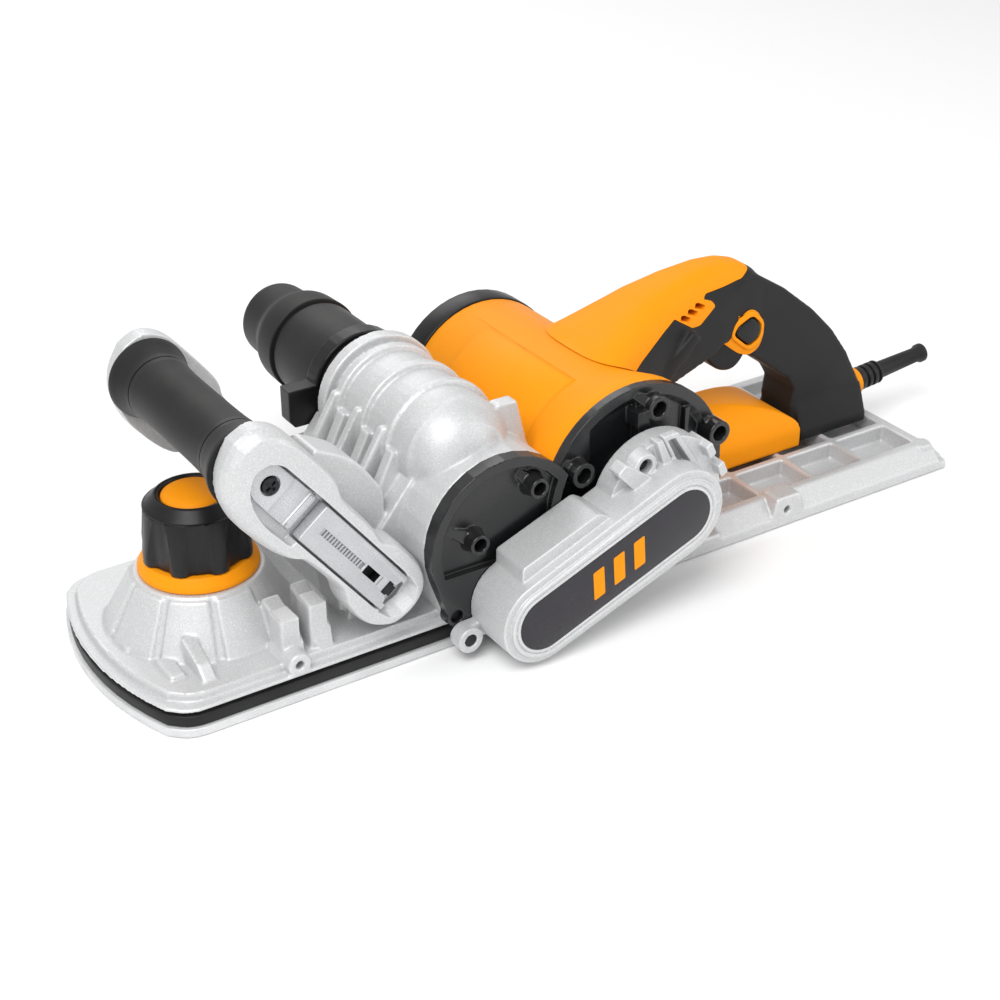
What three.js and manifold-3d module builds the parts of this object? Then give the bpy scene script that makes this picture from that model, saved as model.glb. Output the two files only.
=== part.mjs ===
// Wide electric hand planer, built as separate pieces. Millimetres, +Z up.
// The cutter drum axis is x = 0 while building; the whole group is centred at the end.
import * as THREE from 'three';
import { mergeVertices } from 'three/addons/utils/BufferGeometryUtils.js';
import Module from 'manifold-3d';

const wasm = await Module();
wasm.setup();

// ---- Driving dimensions -------------------------------------------------
const GAP = 0.3;                 // clearance between pieces that touch
const SOLE_WIDTH = 186;          // full width of both soles
const TOE_X = -251;              // tip of the bowed front edge
const HEEL_X = 412;              // rear end of the rear sole
const BOW = 22;                  // how far the front edge bows forward
const SHOE_THICK = 6;            // movable front shoe plate
const DEPTH_TRAVEL = 2.5;        // how far the front shoe rises
const PAD_TOP = 13;              // rear sole pad under the motor
const RIB_TOP = 20;              // rear sole ribs
const DRUM_Z = 34;               // height of the cutter axis
const DRUM_R = 32;               // drum body
const BLADE_R = 33.9;            // cutting circle
const DRUM_ROOM = 3;             // from each drum end to the sole's edge
const MOTOR_X = 111;             // motor axis
const MOTOR_R = 63.5;            // motor housing outside
const MOTOR_RISE = 0.5;          // motor housing above the rear sole pad
const MOTOR_WALL = 6;
const FLARE_STEP = 8.5;          // how far the motor's near flange stands out
const VOLUTE_X = -1;             // centre of the drum side plate
const VOLUTE_Z = 76;
const VOLUTE_R = 57;
const LOWER_RISE = 12;           // lower round of the side plate above the cutter axis
const LOWER_R = 48;
const SIDE_THICK = 11;           // drum side plate
const COVER_DEEP = 43;           // belt cover
const COVER_R = 31;              // belt cover end radius
const CHUTE_X = -10;             // chip chute axis
const CHUTE_Z = 121;
const CHUTE_R = 38;
const PORT_R = 34.5;             // wide part of the dust port
const PORT_END_Y = 196;
const NOZZLE_R = 28;
const KNOB_X = -170;
const KNOB_R = 34;
const KNOB_TOP = 114;
const RING_STEP = 5.5;           // the depth ring is that much larger than the knob
const PIVOT_X = -81;             // front handle pivot
const PIVOT_Z = 57;
const GRIP_X = -163;             // front grip axis
const GRIP_Z = 161.5;
const ARM_THICK = 21;            // each arm of the front handle
const HANDLE_HALF = 18;          // half thickness of the rear handle
const FOOT_HALF = 32;

const HALF = SOLE_WIDTH / 2;
const DRUM_LENGTH = SOLE_WIDTH - 2 * DRUM_ROOM;  // planing width
const MOTOR_Z = PAD_TOP + MOTOR_RISE + MOTOR_R;
const PLATE_R = MOTOR_R + FLARE_STEP;            // near end plate of the motor
const RING_R = KNOB_R + RING_STEP;
const PLATE_Y = -HALF - SIDE_THICK;              // outer face of the drum side plate
const COVER_Y = PLATE_Y - COVER_DEEP;            // outer face of the belt cover
const ARM_OUT = HALF + 1;                        // outer face of each arm
const ARM_IN = ARM_OUT - ARM_THICK;
const HOUSE_HALF = HALF - 31;                    // middle part of the drum housing
const CHUTE_END_Y = HOUSE_HALF - 14;
const HOUSE_FAR = HALF + 7;                      // far bearing wall
const MOTOR_FAR_Y = HALF + 7;                    // far end of the motor housing
const FLARE_Y = 9 - HALF;                        // near end of the motor housing
const PULLEY_Y = [COVER_Y + 13, PLATE_Y - 5];    // both pulleys
const SHAFT_END_Y = COVER_Y + 11;                // near end of both shafts
const LIP_Z = SHOE_THICK + DEPTH_TRAVEL + 4.8;   // underside of the front casting

// ---- Colours and materials ----------------------------------------------
const FINISH = {
  cast: [0xc9cacb, 0.85, 0.5], steel: [0xb4b6b8, 1.0, 0.3], orange: [0xf58a1a, 0.0, 0.45],
  black: [0x2b2b2d, 0.0, 0.6], rubber: [0x242426, 0.0, 0.85], copper: [0xb87344, 0.9, 0.4],
  brass: [0xc7a64f, 1.0, 0.35], dark: [0x39373b, 0.1, 0.5], carbon: [0x1e1e20, 0.0, 0.8],
};

const group = new THREE.Group();
group.name = 'hand_planer';

// ---- Solid helpers --------------------------------------------------------
function solid(geometry) {
  const bare = geometry.index ? geometry.toNonIndexed() : geometry.clone();
  bare.deleteAttribute('normal');
  bare.deleteAttribute('uv');
  const merged = mergeVertices(bare, 1e-4);
  const corners = [];
  for (let i = 0; i < merged.index.count; i += 3) {
    const [a, b, c] = [0, 1, 2].map((k) => merged.index.getX(i + k));
    if (a !== b && b !== c && a !== c) corners.push(a, b, c);
  }
  return new wasm.Manifold(new wasm.Mesh({
    numProp: 3, vertProperties: Float32Array.from(merged.attributes.position.array),
    triVerts: Uint32Array.from(corners) }));
}
const union = (...parts) => parts.reduce((a, b) => a.add(b));
const cut = (body, ...tools) => tools.reduce((a, b) => a.subtract(b), body);

function box(x0, x1, y0, y1, z0, z1) {
  const g = new THREE.BoxGeometry(x1 - x0, y1 - y0, z1 - z0);
  g.translate((x0 + x1) / 2, (y0 + y1) / 2, (z0 + z1) / 2);
  return solid(g);
}
// Cylinder or cone along an axis, from a to b, radii at a and b.
function rod(axis, at, a, b, ra, rb = ra, sides = 32) {
  const g = new THREE.CylinderGeometry(rb, ra, b - a, sides);
  g.translate(0, (a + b) / 2, 0);
  if (axis === 'x') g.rotateZ(-Math.PI / 2);
  if (axis === 'z') g.rotateX(Math.PI / 2);
  if (axis === 'x') g.translate(0, at[0], at[1]);
  if (axis === 'y') g.translate(at[0], 0, at[1]);
  if (axis === 'z') g.translate(at[0], at[1], 0);
  return solid(g);
}
const pipe = (axis, at, a, b, ro, ri, sides = 32) =>
  cut(rod(axis, at, a, b, ro, ro, sides), rod(axis, at, a - 1, b + 1, ri, ri, sides));

// Outline from [u, v, radius] corners; a radius rounds that corner.
function outline(corners, Kind = THREE.Shape) {
  const shape = new Kind();
  const n = corners.length;
  corners.forEach((p, i) => {
    const [before, after] = [corners[(i + n - 1) % n], corners[(i + 1) % n]];
    const r = p[2] || 0;
    const step = (q) => {
      const d = Math.hypot(q[0] - p[0], q[1] - p[1]);
      const t = Math.min(r / d, 0.48);
      return [p[0] + (q[0] - p[0]) * t, p[1] + (q[1] - p[1]) * t];
    };
    const [u, v] = step(before);
    if (i === 0) shape.moveTo(u, v); else shape.lineTo(u, v);
    if (r) shape.quadraticCurveTo(p[0], p[1], ...step(after));
  });
  shape.closePath();
  return shape;
}
function extruded(shape, depth, curve) {
  return new THREE.ExtrudeGeometry(shape, { depth, bevelEnabled: false, curveSegments: curve });
}
// Side-view outline (x, z) spanning y0..y1.
function slab(corners, y0, y1, curve = 4) {
  const g = extruded(corners.isShape ? corners : outline(corners), y1 - y0, curve);
  g.rotateX(Math.PI / 2);
  g.translate(0, y1, 0);
  return solid(g);
}
// Plan outline (x, y) spanning z0..z1.
function plate(corners, z0, z1, curve = 4) {
  const g = extruded(corners.isShape ? corners : outline(corners), z1 - z0, curve);
  g.translate(0, 0, z0);
  return solid(g);
}
// End-view outline (y, z) spanning x0..x1.
function beam(corners, x0, x1) {
  const g = extruded(outline(corners), x1 - x0, 4);
  g.applyMatrix4(new THREE.Matrix4().makeBasis(new THREE.Vector3(0, 1, 0),
    new THREE.Vector3(0, 0, 1), new THREE.Vector3(1, 0, 0)));
  g.translate(x0, 0, 0);
  return solid(g);
}
// Body of revolution from a closed [radius, along] profile.
function turned(profile, axis, at, sides = 32) {
  const points = [...profile, profile[0]].map((p) => new THREE.Vector2(p[0], p[1]));
  const g = new THREE.LatheGeometry(points, sides);
  if (axis === 'z') { g.rotateX(Math.PI / 2); g.translate(at[0], at[1], 0); }
  if (axis === 'y') g.translate(at[0], 0, at[1]);
  if (axis === 'x') { g.rotateZ(-Math.PI / 2); g.translate(0, at[0], at[1]); }
  const made = solid(g);
  return made.volume() < 0 ? solid(flipped(g)) : made;
}
function flipped(geometry) {
  const g = geometry.index ? geometry.toNonIndexed() : geometry.clone();
  const p = g.attributes.position;
  for (let i = 0; i < p.count; i += 3) {
    const [a, b] = [new THREE.Vector3(), new THREE.Vector3()];
    a.fromBufferAttribute(p, i + 1);
    b.fromBufferAttribute(p, i + 2);
    p.setXYZ(i + 1, b.x, b.y, b.z);
    p.setXYZ(i + 2, a.x, a.y, a.z);
  }
  return g;
}
// Side-view outline joining two circles, as for an arm or a belt cover.
function capsule(x1, z1, r1, x2, z2, r2, steps = 12) {
  const along = Math.atan2(z2 - z1, x2 - x1);
  const lean = Math.acos((r1 - r2) / Math.hypot(x2 - x1, z2 - z1));
  const points = [];
  for (let i = 0; i <= steps; i += 1) {
    const a = along + lean + ((2 * Math.PI - 2 * lean) * i) / steps;
    points.push([x1 + r1 * Math.cos(a), z1 + r1 * Math.sin(a)]);
  }
  for (let i = 0; i <= steps; i += 1) {
    const a = along - lean + (2 * lean * i) / steps;
    points.push([x2 + r2 * Math.cos(a), z2 + r2 * Math.sin(a)]);
  }
  return points;
}

function piece(name, body, finish) {
  const mesh = body.getMesh();
  const g = new THREE.BufferGeometry();
  g.setAttribute('position', new THREE.BufferAttribute(Float32Array.from(mesh.vertProperties), 3));
  g.setIndex(new THREE.BufferAttribute(Uint32Array.from(mesh.triVerts), 1));
  g.computeVertexNormals();
  const [color, metalness, roughness] = FINISH[finish];
  const made = new THREE.Mesh(g, new THREE.MeshStandardMaterial({ color, metalness, roughness }));
  made.name = name;
  group.add(made);
  return body;
}

// Side view of the drum housing's end, shared by all that seats on it or clears it.
const drumSide = (grow, steps = 16) => capsule(0, DRUM_Z + LOWER_RISE, LOWER_R + grow,
  VOLUTE_X, VOLUTE_Z, VOLUTE_R + grow, steps);

// ---- Soles ------------------------------------------------------------------
// Plan outline with the bowed front edge, drawn in by an inset on three sides.
function bowed(inset, rearX) {
  const half = HALF - inset;
  const radius = (HALF * HALF + BOW * BOW) / (2 * BOW);
  const centre = TOE_X + radius;
  const reach = Math.asin((half - 12) / (radius - inset));
  const points = [[rearX, -half], [centre - (radius - inset) * Math.cos(reach) + 12, -half, 12]];
  for (let i = 0; i <= 10; i += 1) {
    const a = -reach + (2 * reach * i) / 10;
    points.push([centre - (radius - inset) * Math.cos(a), (radius - inset) * Math.sin(a)]);
  }
  points.push([centre - (radius - inset) * Math.cos(reach) + 12, half, 12], [rearX, half]);
  return points.reverse();
}
const SHOE_REAR = -26;
const POST_Y = 52;
const POST_R = 6;
const shoePosts = [-1, 1].map((s) =>
  rod('z', [KNOB_X, s * POST_Y], SHOE_THICK - 1, 30, POST_R, POST_R, 20));
const SPINDLE_R = 5;
const NUT_R = 13;
piece('front_shoe', cut(union(plate(bowed(0, SHOE_REAR), 0, SHOE_THICK), ...shoePosts,
  rod('z', [KNOB_X, 0], SHOE_THICK - 1, 26, NUT_R, NUT_R, 24)),
rod('z', [KNOB_X, 0], 3, 40, SPINDLE_R + GAP, SPINDLE_R + GAP, 20)), 'cast');

const STRIP_IN = 2;
const STRIP_TOP = LIP_Z + 0.7;
const stripRing = (inset, wide, z0, z1) => cut(plate(bowed(inset, SHOE_REAR - 8), z0, z1),
  plate(bowed(inset + wide, SHOE_REAR + 8), z0 - 1, z1 + 1));
piece('shoe_strip', stripRing(STRIP_IN, 7, SHOE_THICK + GAP, STRIP_TOP), 'rubber');

const MOUTH_R = BLADE_R + 1.6;
const mouth = rod('y', [0, DRUM_Z], -HALF - 20, HALF + 20, MOUTH_R, MOUTH_R, 40);
const SOLE_FRONT = 24;
const RIBBED_X = 188;
const LEDGE = 13;
const chamfer = (s) => beam([[s * HALF, 0], [s * HALF, 8], [s * (HALF - LEDGE), RIB_TOP],
  [s * (HALF - LEDGE - 7), RIB_TOP], [s * (HALF - LEDGE - 7), 4]].slice()[
  s > 0 ? 'slice' : 'reverse'](), RIBBED_X, HEEL_X - 8);
const crossRibs = [RIBBED_X, 238, 288, 338].map((x) =>
  box(x, x + 5, -HALF + LEDGE + 3, HALF - LEDGE - 3, 4, RIB_TOP));
const longRibs = [-38, 38].map((y) => box(RIBBED_X, HEEL_X - 20, y - 3, y + 3, 4, RIB_TOP));
const FENCE_X = 250;
const FENCE_Z = 13;
const soleBase = union(
  plate([[SOLE_FRONT, -HALF], [HEEL_X, -HALF, 5], [HEEL_X, HALF, 5], [SOLE_FRONT, HALF]], 0, 6.5),
  box(SOLE_FRONT, RIBBED_X, -HALF, HALF, 3, PAD_TOP),
  chamfer(-1), chamfer(1),
  slab([[HEEL_X, 3], [HEEL_X, 8], [HEEL_X - LEDGE, RIB_TOP], [HEEL_X - LEDGE - 8, RIB_TOP],
    [HEEL_X - LEDGE - 8, 3]], -HALF + 8, HALF - 8),
  ...crossRibs, ...longRibs,
  rod('y', [FENCE_X, FENCE_Z], -HALF, -HALF + 24, 8.5, 8.5, 20));
const padPockets = [[66, 108], [116, 152]].map(([a, b]) =>
  box(a, b, -HALF + 22, HALF - 22, 6.5, PAD_TOP + 1));
piece('rear_sole', cut(soleBase, mouth, ...padPockets,
  rod('y', [FENCE_X, FENCE_Z], -HALF - 1, -HALF + 12, 3, 3, 16)), 'cast');

// ---- Front casting: deck, knob boss, drum housing and chip chute ----------------
const STRIP_ROOM = 0.5;
const deckLip = plate(bowed(1.5, -34), LIP_Z, LIP_Z + 6);
const deckRise = plate(bowed(9, -34), LIP_Z + 2, LIP_Z + 12);
const boss = rod('z', [KNOB_X, 0], LIP_Z + 4, 61, 66, 42, 40);
const bossClip = plate(bowed(9, -34), LIP_Z, 80);
const housing = slab([[-62, LIP_Z], [-98, LIP_Z + 8, 6], [-88, 62, 14], [-47, CHUTE_Z - 8, 10],
  [-10, CHUTE_Z + 30, 30], [26, CHUTE_Z - 14, 20], [52, 70, 6], [52, PAD_TOP + GAP]],
-HOUSE_HALF, HOUSE_HALF);
const cheek = (y0, y1) =>
  slab(drumSide(-0.5), y0, y1).intersect(box(-70, 58, -HALF - 1, HALF + 1, LIP_Z, 160));
const chute = union(
  rod('y', [CHUTE_X, CHUTE_Z], 4 - HOUSE_HALF, CHUTE_END_Y, CHUTE_R, CHUTE_R, 36),
  rod('y', [CHUTE_X, CHUTE_Z], -14 - HOUSE_HALF, 4 - HOUSE_HALF, 26, CHUTE_R, 36),
  ...[-38, -6, 26].map((y) => rod('y', [CHUTE_X, CHUTE_Z], y, y + 7, CHUTE_R + 4, CHUTE_R + 4, 36)),
  rod('y', [CHUTE_X, CHUTE_Z], CHUTE_END_Y - 10, CHUTE_END_Y, CHUTE_R + 7, CHUTE_R + 7, 36));
const farWall = cut(rod('y', [0, DRUM_Z + 14], HALF - 12, HOUSE_FAR, 34, 30, 36),
  box(-60, 60, HALF, HOUSE_FAR + 1, -20, LIP_Z));
const BOLT_R = 6;
// The stretch from a to b on the near side (s < 0) or the far side.
const reach = (s, a, b) => [Math.min(s * a, s * b), Math.max(s * a, s * b)];
const pivots = [-1, 1].map((s) => rod('y', [PIVOT_X, PIVOT_Z],
  s < 0 ? -ARM_IN + GAP : HOUSE_HALF - 7, s < 0 ? 7 - HOUSE_HALF : ARM_IN - GAP, 20, 20, 28));
const FIN_Y = HOUSE_HALF - 12;
const fin = slab([[-100, 30], [-108, 100, 10], [-118, 140, 4], [-112, 152, 3], [-84, 138, 20],
  [-64, 108, 8], [-70, 30]], -FIN_Y - 8, -FIN_Y + 20);
const buttress = (x, w, zt) => beam([[-HALF + 10, LIP_Z + 3], [-HALF + 14, zt - 10], [-HALF + 24, zt],
  [16 - HOUSE_HALF, zt + 8], [16 - HOUSE_HALF, LIP_Z + 3]].reverse(), x, x + w);
const braces = [buttress(-206, 9, 34), buttress(-150, 12, 44), buttress(-130, 12, 48)];
const FRONT_FENCE_X = -147;
const FENCE_BOSS_Z = 25;
const frontFence = rod('y', [FRONT_FENCE_X, FENCE_BOSS_Z], -HALF + 1.5, -HALF + 30, 8, 8, 20);
const pads = [[-232, -8, 12, 22], [-222, -52, 10, 24]].map(([x, y, w, l]) =>
  box(x, x + w, y - l / 2, y + l / 2, LIP_Z + 5, LIP_Z + 15));
const diagonals = [-48, -16, 16].map((y) =>
  slab([[-86, 60], [-52, 128], [-40, 126], [-60, 60]], y, y + 9));
const CAVITY_R = BLADE_R + 3;
const cavity = rod('y', [0, DRUM_Z], -HALF - 1, DRUM_LENGTH / 2 + 1, CAVITY_R, CAVITY_R, 40);
const chuteBore = rod('y', [CHUTE_X, CHUTE_Z], -54, CHUTE_END_Y + 1, CHUTE_R - 6, CHUTE_R - 6, 32);
const portRoom = union(
  rod('y', [CHUTE_X, CHUTE_Z], CHUTE_END_Y, HALF + 10, PORT_R + 5, PORT_R + 5, 40),
  box(-90, 70, HOUSE_HALF, HALF + 10, 80, CHUTE_Z + PORT_R + 15));
const throat = slab([[-32, DRUM_Z], [-32, CHUTE_Z], [12, CHUTE_Z], [30, DRUM_Z]], -50, 40);
const BEARING_OUT = 15.5;
const motorRoom = rod('y', [MOTOR_X, MOTOR_Z], COVER_Y, HALF + 47, MOTOR_R + GAP, MOTOR_R + GAP, 64);
const FLARE_LONG = 14;
const FLARE_SLOPE = 26;
const flareRoom = union(
  rod('y', [MOTOR_X, MOTOR_Z], COVER_Y, FLARE_Y + FLARE_LONG, PLATE_R - 0.8, PLATE_R - 0.8, 64),
  rod('y', [MOTOR_X, MOTOR_Z], COVER_Y, FLARE_Y + 0.2, PLATE_R + GAP, PLATE_R + GAP, 64),
  rod('y', [MOTOR_X, MOTOR_Z], FLARE_Y + FLARE_LONG - 0.5, FLARE_Y + FLARE_LONG + FLARE_SLOPE + 1,
    PLATE_R - 0.6, MOTOR_R + GAP, 64));
const bossHollow = rod('z', [KNOB_X, 0], LIP_Z - 1, 50, 56, 36, 32);
const blockHollow = slab([[-82, 0], [-84, 50], [-58, 94], [-47, 80], [-47, 0]],
  8 - HOUSE_HALF, HOUSE_HALF - 8);
const cheekHollow = (y0, y1) => cut(slab(drumSide(-7), y0, y1), box(-80, 80, y0 - 1, y1 + 1, 0, 30));
const deckWell = rod('z', [KNOB_X, 0], 0, 40, NUT_R + 1, NUT_R + 1, 24);
const postWells = [-1, 1].map((s) =>
  rod('z', [KNOB_X, s * POST_Y], 0, 34, POST_R + 0.4, POST_R + 0.4, 20));
const frontBody = cut(union(deckLip, deckRise, boss.intersect(bossClip), housing,
  cheek(-HALF, -HOUSE_HALF + 6), cheek(HOUSE_HALF - 6, HALF), chute, farWall, ...pivots, fin,
  ...braces, frontFence, ...pads,
  ...diagonals),
cavity, throat, chuteBore, portRoom, motorRoom, flareRoom, deckWell, bossHollow,
blockHollow, ...postWells, cheekHollow(-HALF - 1, -HOUSE_HALF), cheekHollow(HOUSE_HALF, HALF - 9),
stripRing(STRIP_IN - STRIP_ROOM, 7 + 2 * STRIP_ROOM, LIP_Z - 1, LIP_Z + DEPTH_TRAVEL + 1.2),
rod('y', [0, DRUM_Z], HALF - 13, HOUSE_FAR - 1, BEARING_OUT + GAP, BEARING_OUT + GAP, 28),
rod('z', [KNOB_X, 0], 30, 80, SPINDLE_R + 1, SPINDLE_R + 1, 20),
rod('y', [FRONT_FENCE_X, FENCE_BOSS_Z], -HALF, -HALF + 14, 3, 3, 16),
...[-1, 1].map((s) => rod('y', [PIVOT_X, PIVOT_Z],
  ...reach(s, ARM_IN - 13, ARM_IN + 7), BOLT_R + GAP, BOLT_R + GAP, 20)),
box(SHOE_REAR + 2, 60, -HALF - 5, HALF + 20, -5, PAD_TOP + GAP));
piece('front_body', frontBody, 'cast');

// ---- Depth control -----------------------------------------------------------
piece('depth_ring', turned([[SPINDLE_R + 2, 61 + GAP], [RING_R, 61 + GAP], [RING_R, 65],
  [RING_R - 4, 71], [SPINDLE_R + 2, 71]], 'z', [KNOB_X, 0], 40), 'orange');
piece('depth_spindle', union(rod('z', [KNOB_X, 0], 7, 104, SPINDLE_R, SPINDLE_R, 20),
  rod('z', [KNOB_X, 0], 40 - 4, 48, SPINDLE_R + 0.6, SPINDLE_R + 0.6, 20)), 'steel');
const LOBES = 8;
const lobedPoints = [];
for (let i = 0; i < LOBES * 4; i += 1) {
  const a = (i * 2 * Math.PI) / (LOBES * 4);
  const r = i % 4 < 2 ? KNOB_R : KNOB_R - 4;
  lobedPoints.push([KNOB_X + r * Math.cos(a), r * Math.sin(a)]);
}
const knobBody = union(plate(lobedPoints, 71 + GAP, KNOB_TOP - 8),
  rod('z', [KNOB_X, 0], KNOB_TOP - 8, KNOB_TOP, KNOB_R - 5, KNOB_R - 12, 32));
piece('depth_knob', cut(knobBody,
  rod('z', [KNOB_X, 0], 60, 104.5, SPINDLE_R + GAP, SPINDLE_R + GAP, 20),
  rod('z', [KNOB_X, 0], KNOB_TOP - 2, KNOB_TOP + 2, 17, 17, 28)), 'black');
piece('knob_cap', rod('z', [KNOB_X, 0], KNOB_TOP - 2 + GAP, KNOB_TOP + 2, 16.6, 15.4, 28), 'orange');

// ---- Cutter drum ----------------------------------------------------------------
const SHAFT_R = 8.5;
const turnDrum = (body, angle) => {
  const c = Math.cos(angle);
  const s = Math.sin(angle);
  return body.translate([0, 0, -DRUM_Z])
    .transform([c, 0, -s, 0, 0, 1, 0, 0, s, 0, c, 0, 0, 0, 0, 1])
    .translate([0, 0, DRUM_Z]);
};
const DRUM_HALF = DRUM_LENGTH / 2;
const SLOT_W = 13;
const slotTool = box(-4, SLOT_W - 4, -DRUM_HALF - 1, DRUM_HALF + 1, DRUM_Z + 17, DRUM_Z + DRUM_R + 4);
const BLADE_ANGLES = [0, 1, 2].map((i) => (i * 2 * Math.PI) / 3);
piece('cutter_drum', cut(union(
  rod('y', [0, DRUM_Z], -DRUM_HALF, DRUM_HALF, DRUM_R, DRUM_R, 48),
  rod('y', [0, DRUM_Z], SHAFT_END_Y, HALF + 5, SHAFT_R, SHAFT_R, 24)),
...BLADE_ANGLES.map((a) => turnDrum(slotTool, a))), 'steel');
const blade = slab([[-3.7, DRUM_Z + 18], [-0.7, DRUM_Z + 18], [-0.7, DRUM_Z + BLADE_R - 0.4],
  [-3.7, DRUM_Z + BLADE_R - 2.4]], -DRUM_HALF + 1, DRUM_HALF - 1);
const wedge = slab([[-0.4, DRUM_Z + 17.3], [SLOT_W - 4.3, DRUM_Z + 17.3],
  [SLOT_W - 4.3, DRUM_Z + DRUM_R - 3], [-0.4, DRUM_Z + DRUM_R - 1]],
-DRUM_HALF + 1, DRUM_HALF - 1);
BLADE_ANGLES.forEach((a, i) => {
  piece(`blade_${i + 1}`, turnDrum(blade, a), 'steel');
  piece(`blade_wedge_${i + 1}`, turnDrum(wedge, a), 'steel');
});
piece('drum_bearing_far', pipe('y', [0, DRUM_Z], HALF - 1.5, HALF + 5.5, BEARING_OUT,
  SHAFT_R + GAP, 28), 'steel');
piece('drum_bearing_near', pipe('y', [0, DRUM_Z], PLATE_Y + 1.5, -HALF - 1, BEARING_OUT, SHAFT_R + GAP, 28),
  'steel');
const DRUM_PULLEY_R = 18;
const MOTOR_PULLEY_R = 16;
const BELT_THICK = 3;
piece('drum_pulley', pipe('y', [0, DRUM_Z], ...PULLEY_Y, DRUM_PULLEY_R, SHAFT_R + GAP, 28), 'steel');
const belt = slab(capsule(0, DRUM_Z, DRUM_PULLEY_R + BELT_THICK + GAP, MOTOR_X, MOTOR_Z,
  MOTOR_PULLEY_R + BELT_THICK + GAP, 12), PULLEY_Y[0] + 2, PULLEY_Y[1] - 2);
piece('drive_belt', cut(belt, slab(capsule(0, DRUM_Z, DRUM_PULLEY_R + GAP, MOTOR_X, MOTOR_Z,
  MOTOR_PULLEY_R + GAP, 12), PULLEY_Y[0] + 1, PULLEY_Y[1] - 1)), 'rubber');

// ---- Motor ------------------------------------------------------------------------
const M = [MOTOR_X, MOTOR_Z];
const MOTOR_SHAFT_R = 6;
piece('motor_pulley', pipe('y', M, ...PULLEY_Y, MOTOR_PULLEY_R, MOTOR_SHAFT_R + GAP, 28), 'steel');
const CORE_R = 26;
const COMMUTATOR_R = 14;
piece('armature', union(rod('y', M, SHAFT_END_Y, MOTOR_FAR_Y + 12, MOTOR_SHAFT_R, MOTOR_SHAFT_R, 20),
  rod('y', M, -16, 28, CORE_R, CORE_R, 28)), 'steel');
piece('commutator', pipe('y', M, 58, 80, COMMUTATOR_R, MOTOR_SHAFT_R + GAP, 24), 'copper');
piece('field_core', cut(rod('y', M, -14, 26, MOTOR_R - MOTOR_WALL - 1, MOTOR_R - MOTOR_WALL - 1, 36),
  rod('y', M, -30, 44, CORE_R + 1.5, CORE_R + 1.5, 28),
  ...[-1, 1].map((s) => box(MOTOR_X + s * 38 - 12, MOTOR_X + s * 38 + 12, -30, 44,
    MOTOR_Z - 20, MOTOR_Z + 20))), 'copper');
const fanBlades = [];
for (let i = 0; i < 9; i += 1) {
  const a = (i * 2 * Math.PI) / 9;
  const [c, s] = [Math.cos(a), Math.sin(a)];
  const g = new THREE.BoxGeometry(32, 10, 3);
  g.translate(30, 0, 0);
  g.applyMatrix4(new THREE.Matrix4().set(c, 0, -s, MOTOR_X, 0, 1, 0, -52, s, 0, c, MOTOR_Z,
    0, 0, 0, 1));
  fanBlades.push(solid(g));
}
piece('cooling_fan', cut(union(rod('y', M, -62, -56, 48, 48, 32), rod('y', M, -58, -46, 18, 18, 24),
  ...fanBlades), rod('y', M, -70, -40, MOTOR_SHAFT_R + GAP, MOTOR_SHAFT_R + GAP, 20)), 'black');
[-1, 1].forEach((s) => {
  const [a, b] = [COMMUTATOR_R + 0.6, COMMUTATOR_R + 18];
  piece(s > 0 ? 'brush_top' : 'brush_bottom', box(MOTOR_X - 3.5, MOTOR_X + 3.5, 64, 74,
    s > 0 ? MOTOR_Z + a : MOTOR_Z - b, s > 0 ? MOTOR_Z + b : MOTOR_Z - a), 'carbon');
});
piece('motor_bearing_far', pipe('y', M, MOTOR_FAR_Y + 3, MOTOR_FAR_Y + 11, 13,
  MOTOR_SHAFT_R + GAP, 24), 'steel');
piece('motor_bearing_near', pipe('y', M, FLARE_Y - 4, FLARE_Y + 5, 14, MOTOR_SHAFT_R + GAP, 24), 'steel');

const bore = MOTOR_R - MOTOR_WALL;
const tube = turned([[bore, FLARE_Y], [PLATE_R - 1.5, FLARE_Y], [PLATE_R - 1.5, FLARE_Y + FLARE_LONG],
  [MOTOR_R, FLARE_Y + FLARE_LONG + FLARE_SLOPE], [MOTOR_R, MOTOR_FAR_Y], [bore, MOTOR_FAR_Y]], 'y', M, 48);
const cradle = cut(box(MOTOR_X - 36, MOTOR_X + 44, -60, 60, PAD_TOP + GAP, 46),
  rod('y', M, -70, 70, bore + 2, bore + 2, 48));
piece('motor_housing', cut(union(tube, cradle),
  box(0, 250, -120, 120, -10, PAD_TOP + GAP),
  slab(drumSide(0.8), COVER_Y, 12 - HOUSE_HALF),
  box(0, 52 + GAP, -HOUSE_HALF - GAP, HALF, 0, 72)), 'orange');
const CAP_FAR = MOTOR_FAR_Y + 25;
const farBossR = 13 + GAP;
piece('motor_end_cap', cut(
  turned([[0, MOTOR_FAR_Y + GAP], [MOTOR_R + 1, MOTOR_FAR_Y + GAP], [MOTOR_R + 1, CAP_FAR - 6],
    [MOTOR_R - 5, CAP_FAR], [0, CAP_FAR]], 'y', M, 48),
  pipe('y', M, MOTOR_FAR_Y - 1, CAP_FAR - 6, MOTOR_R - 4, 20, 40),
  rod('y', M, MOTOR_FAR_Y - 1, MOTOR_FAR_Y + 13, farBossR, farBossR, 24)), 'black');

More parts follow.
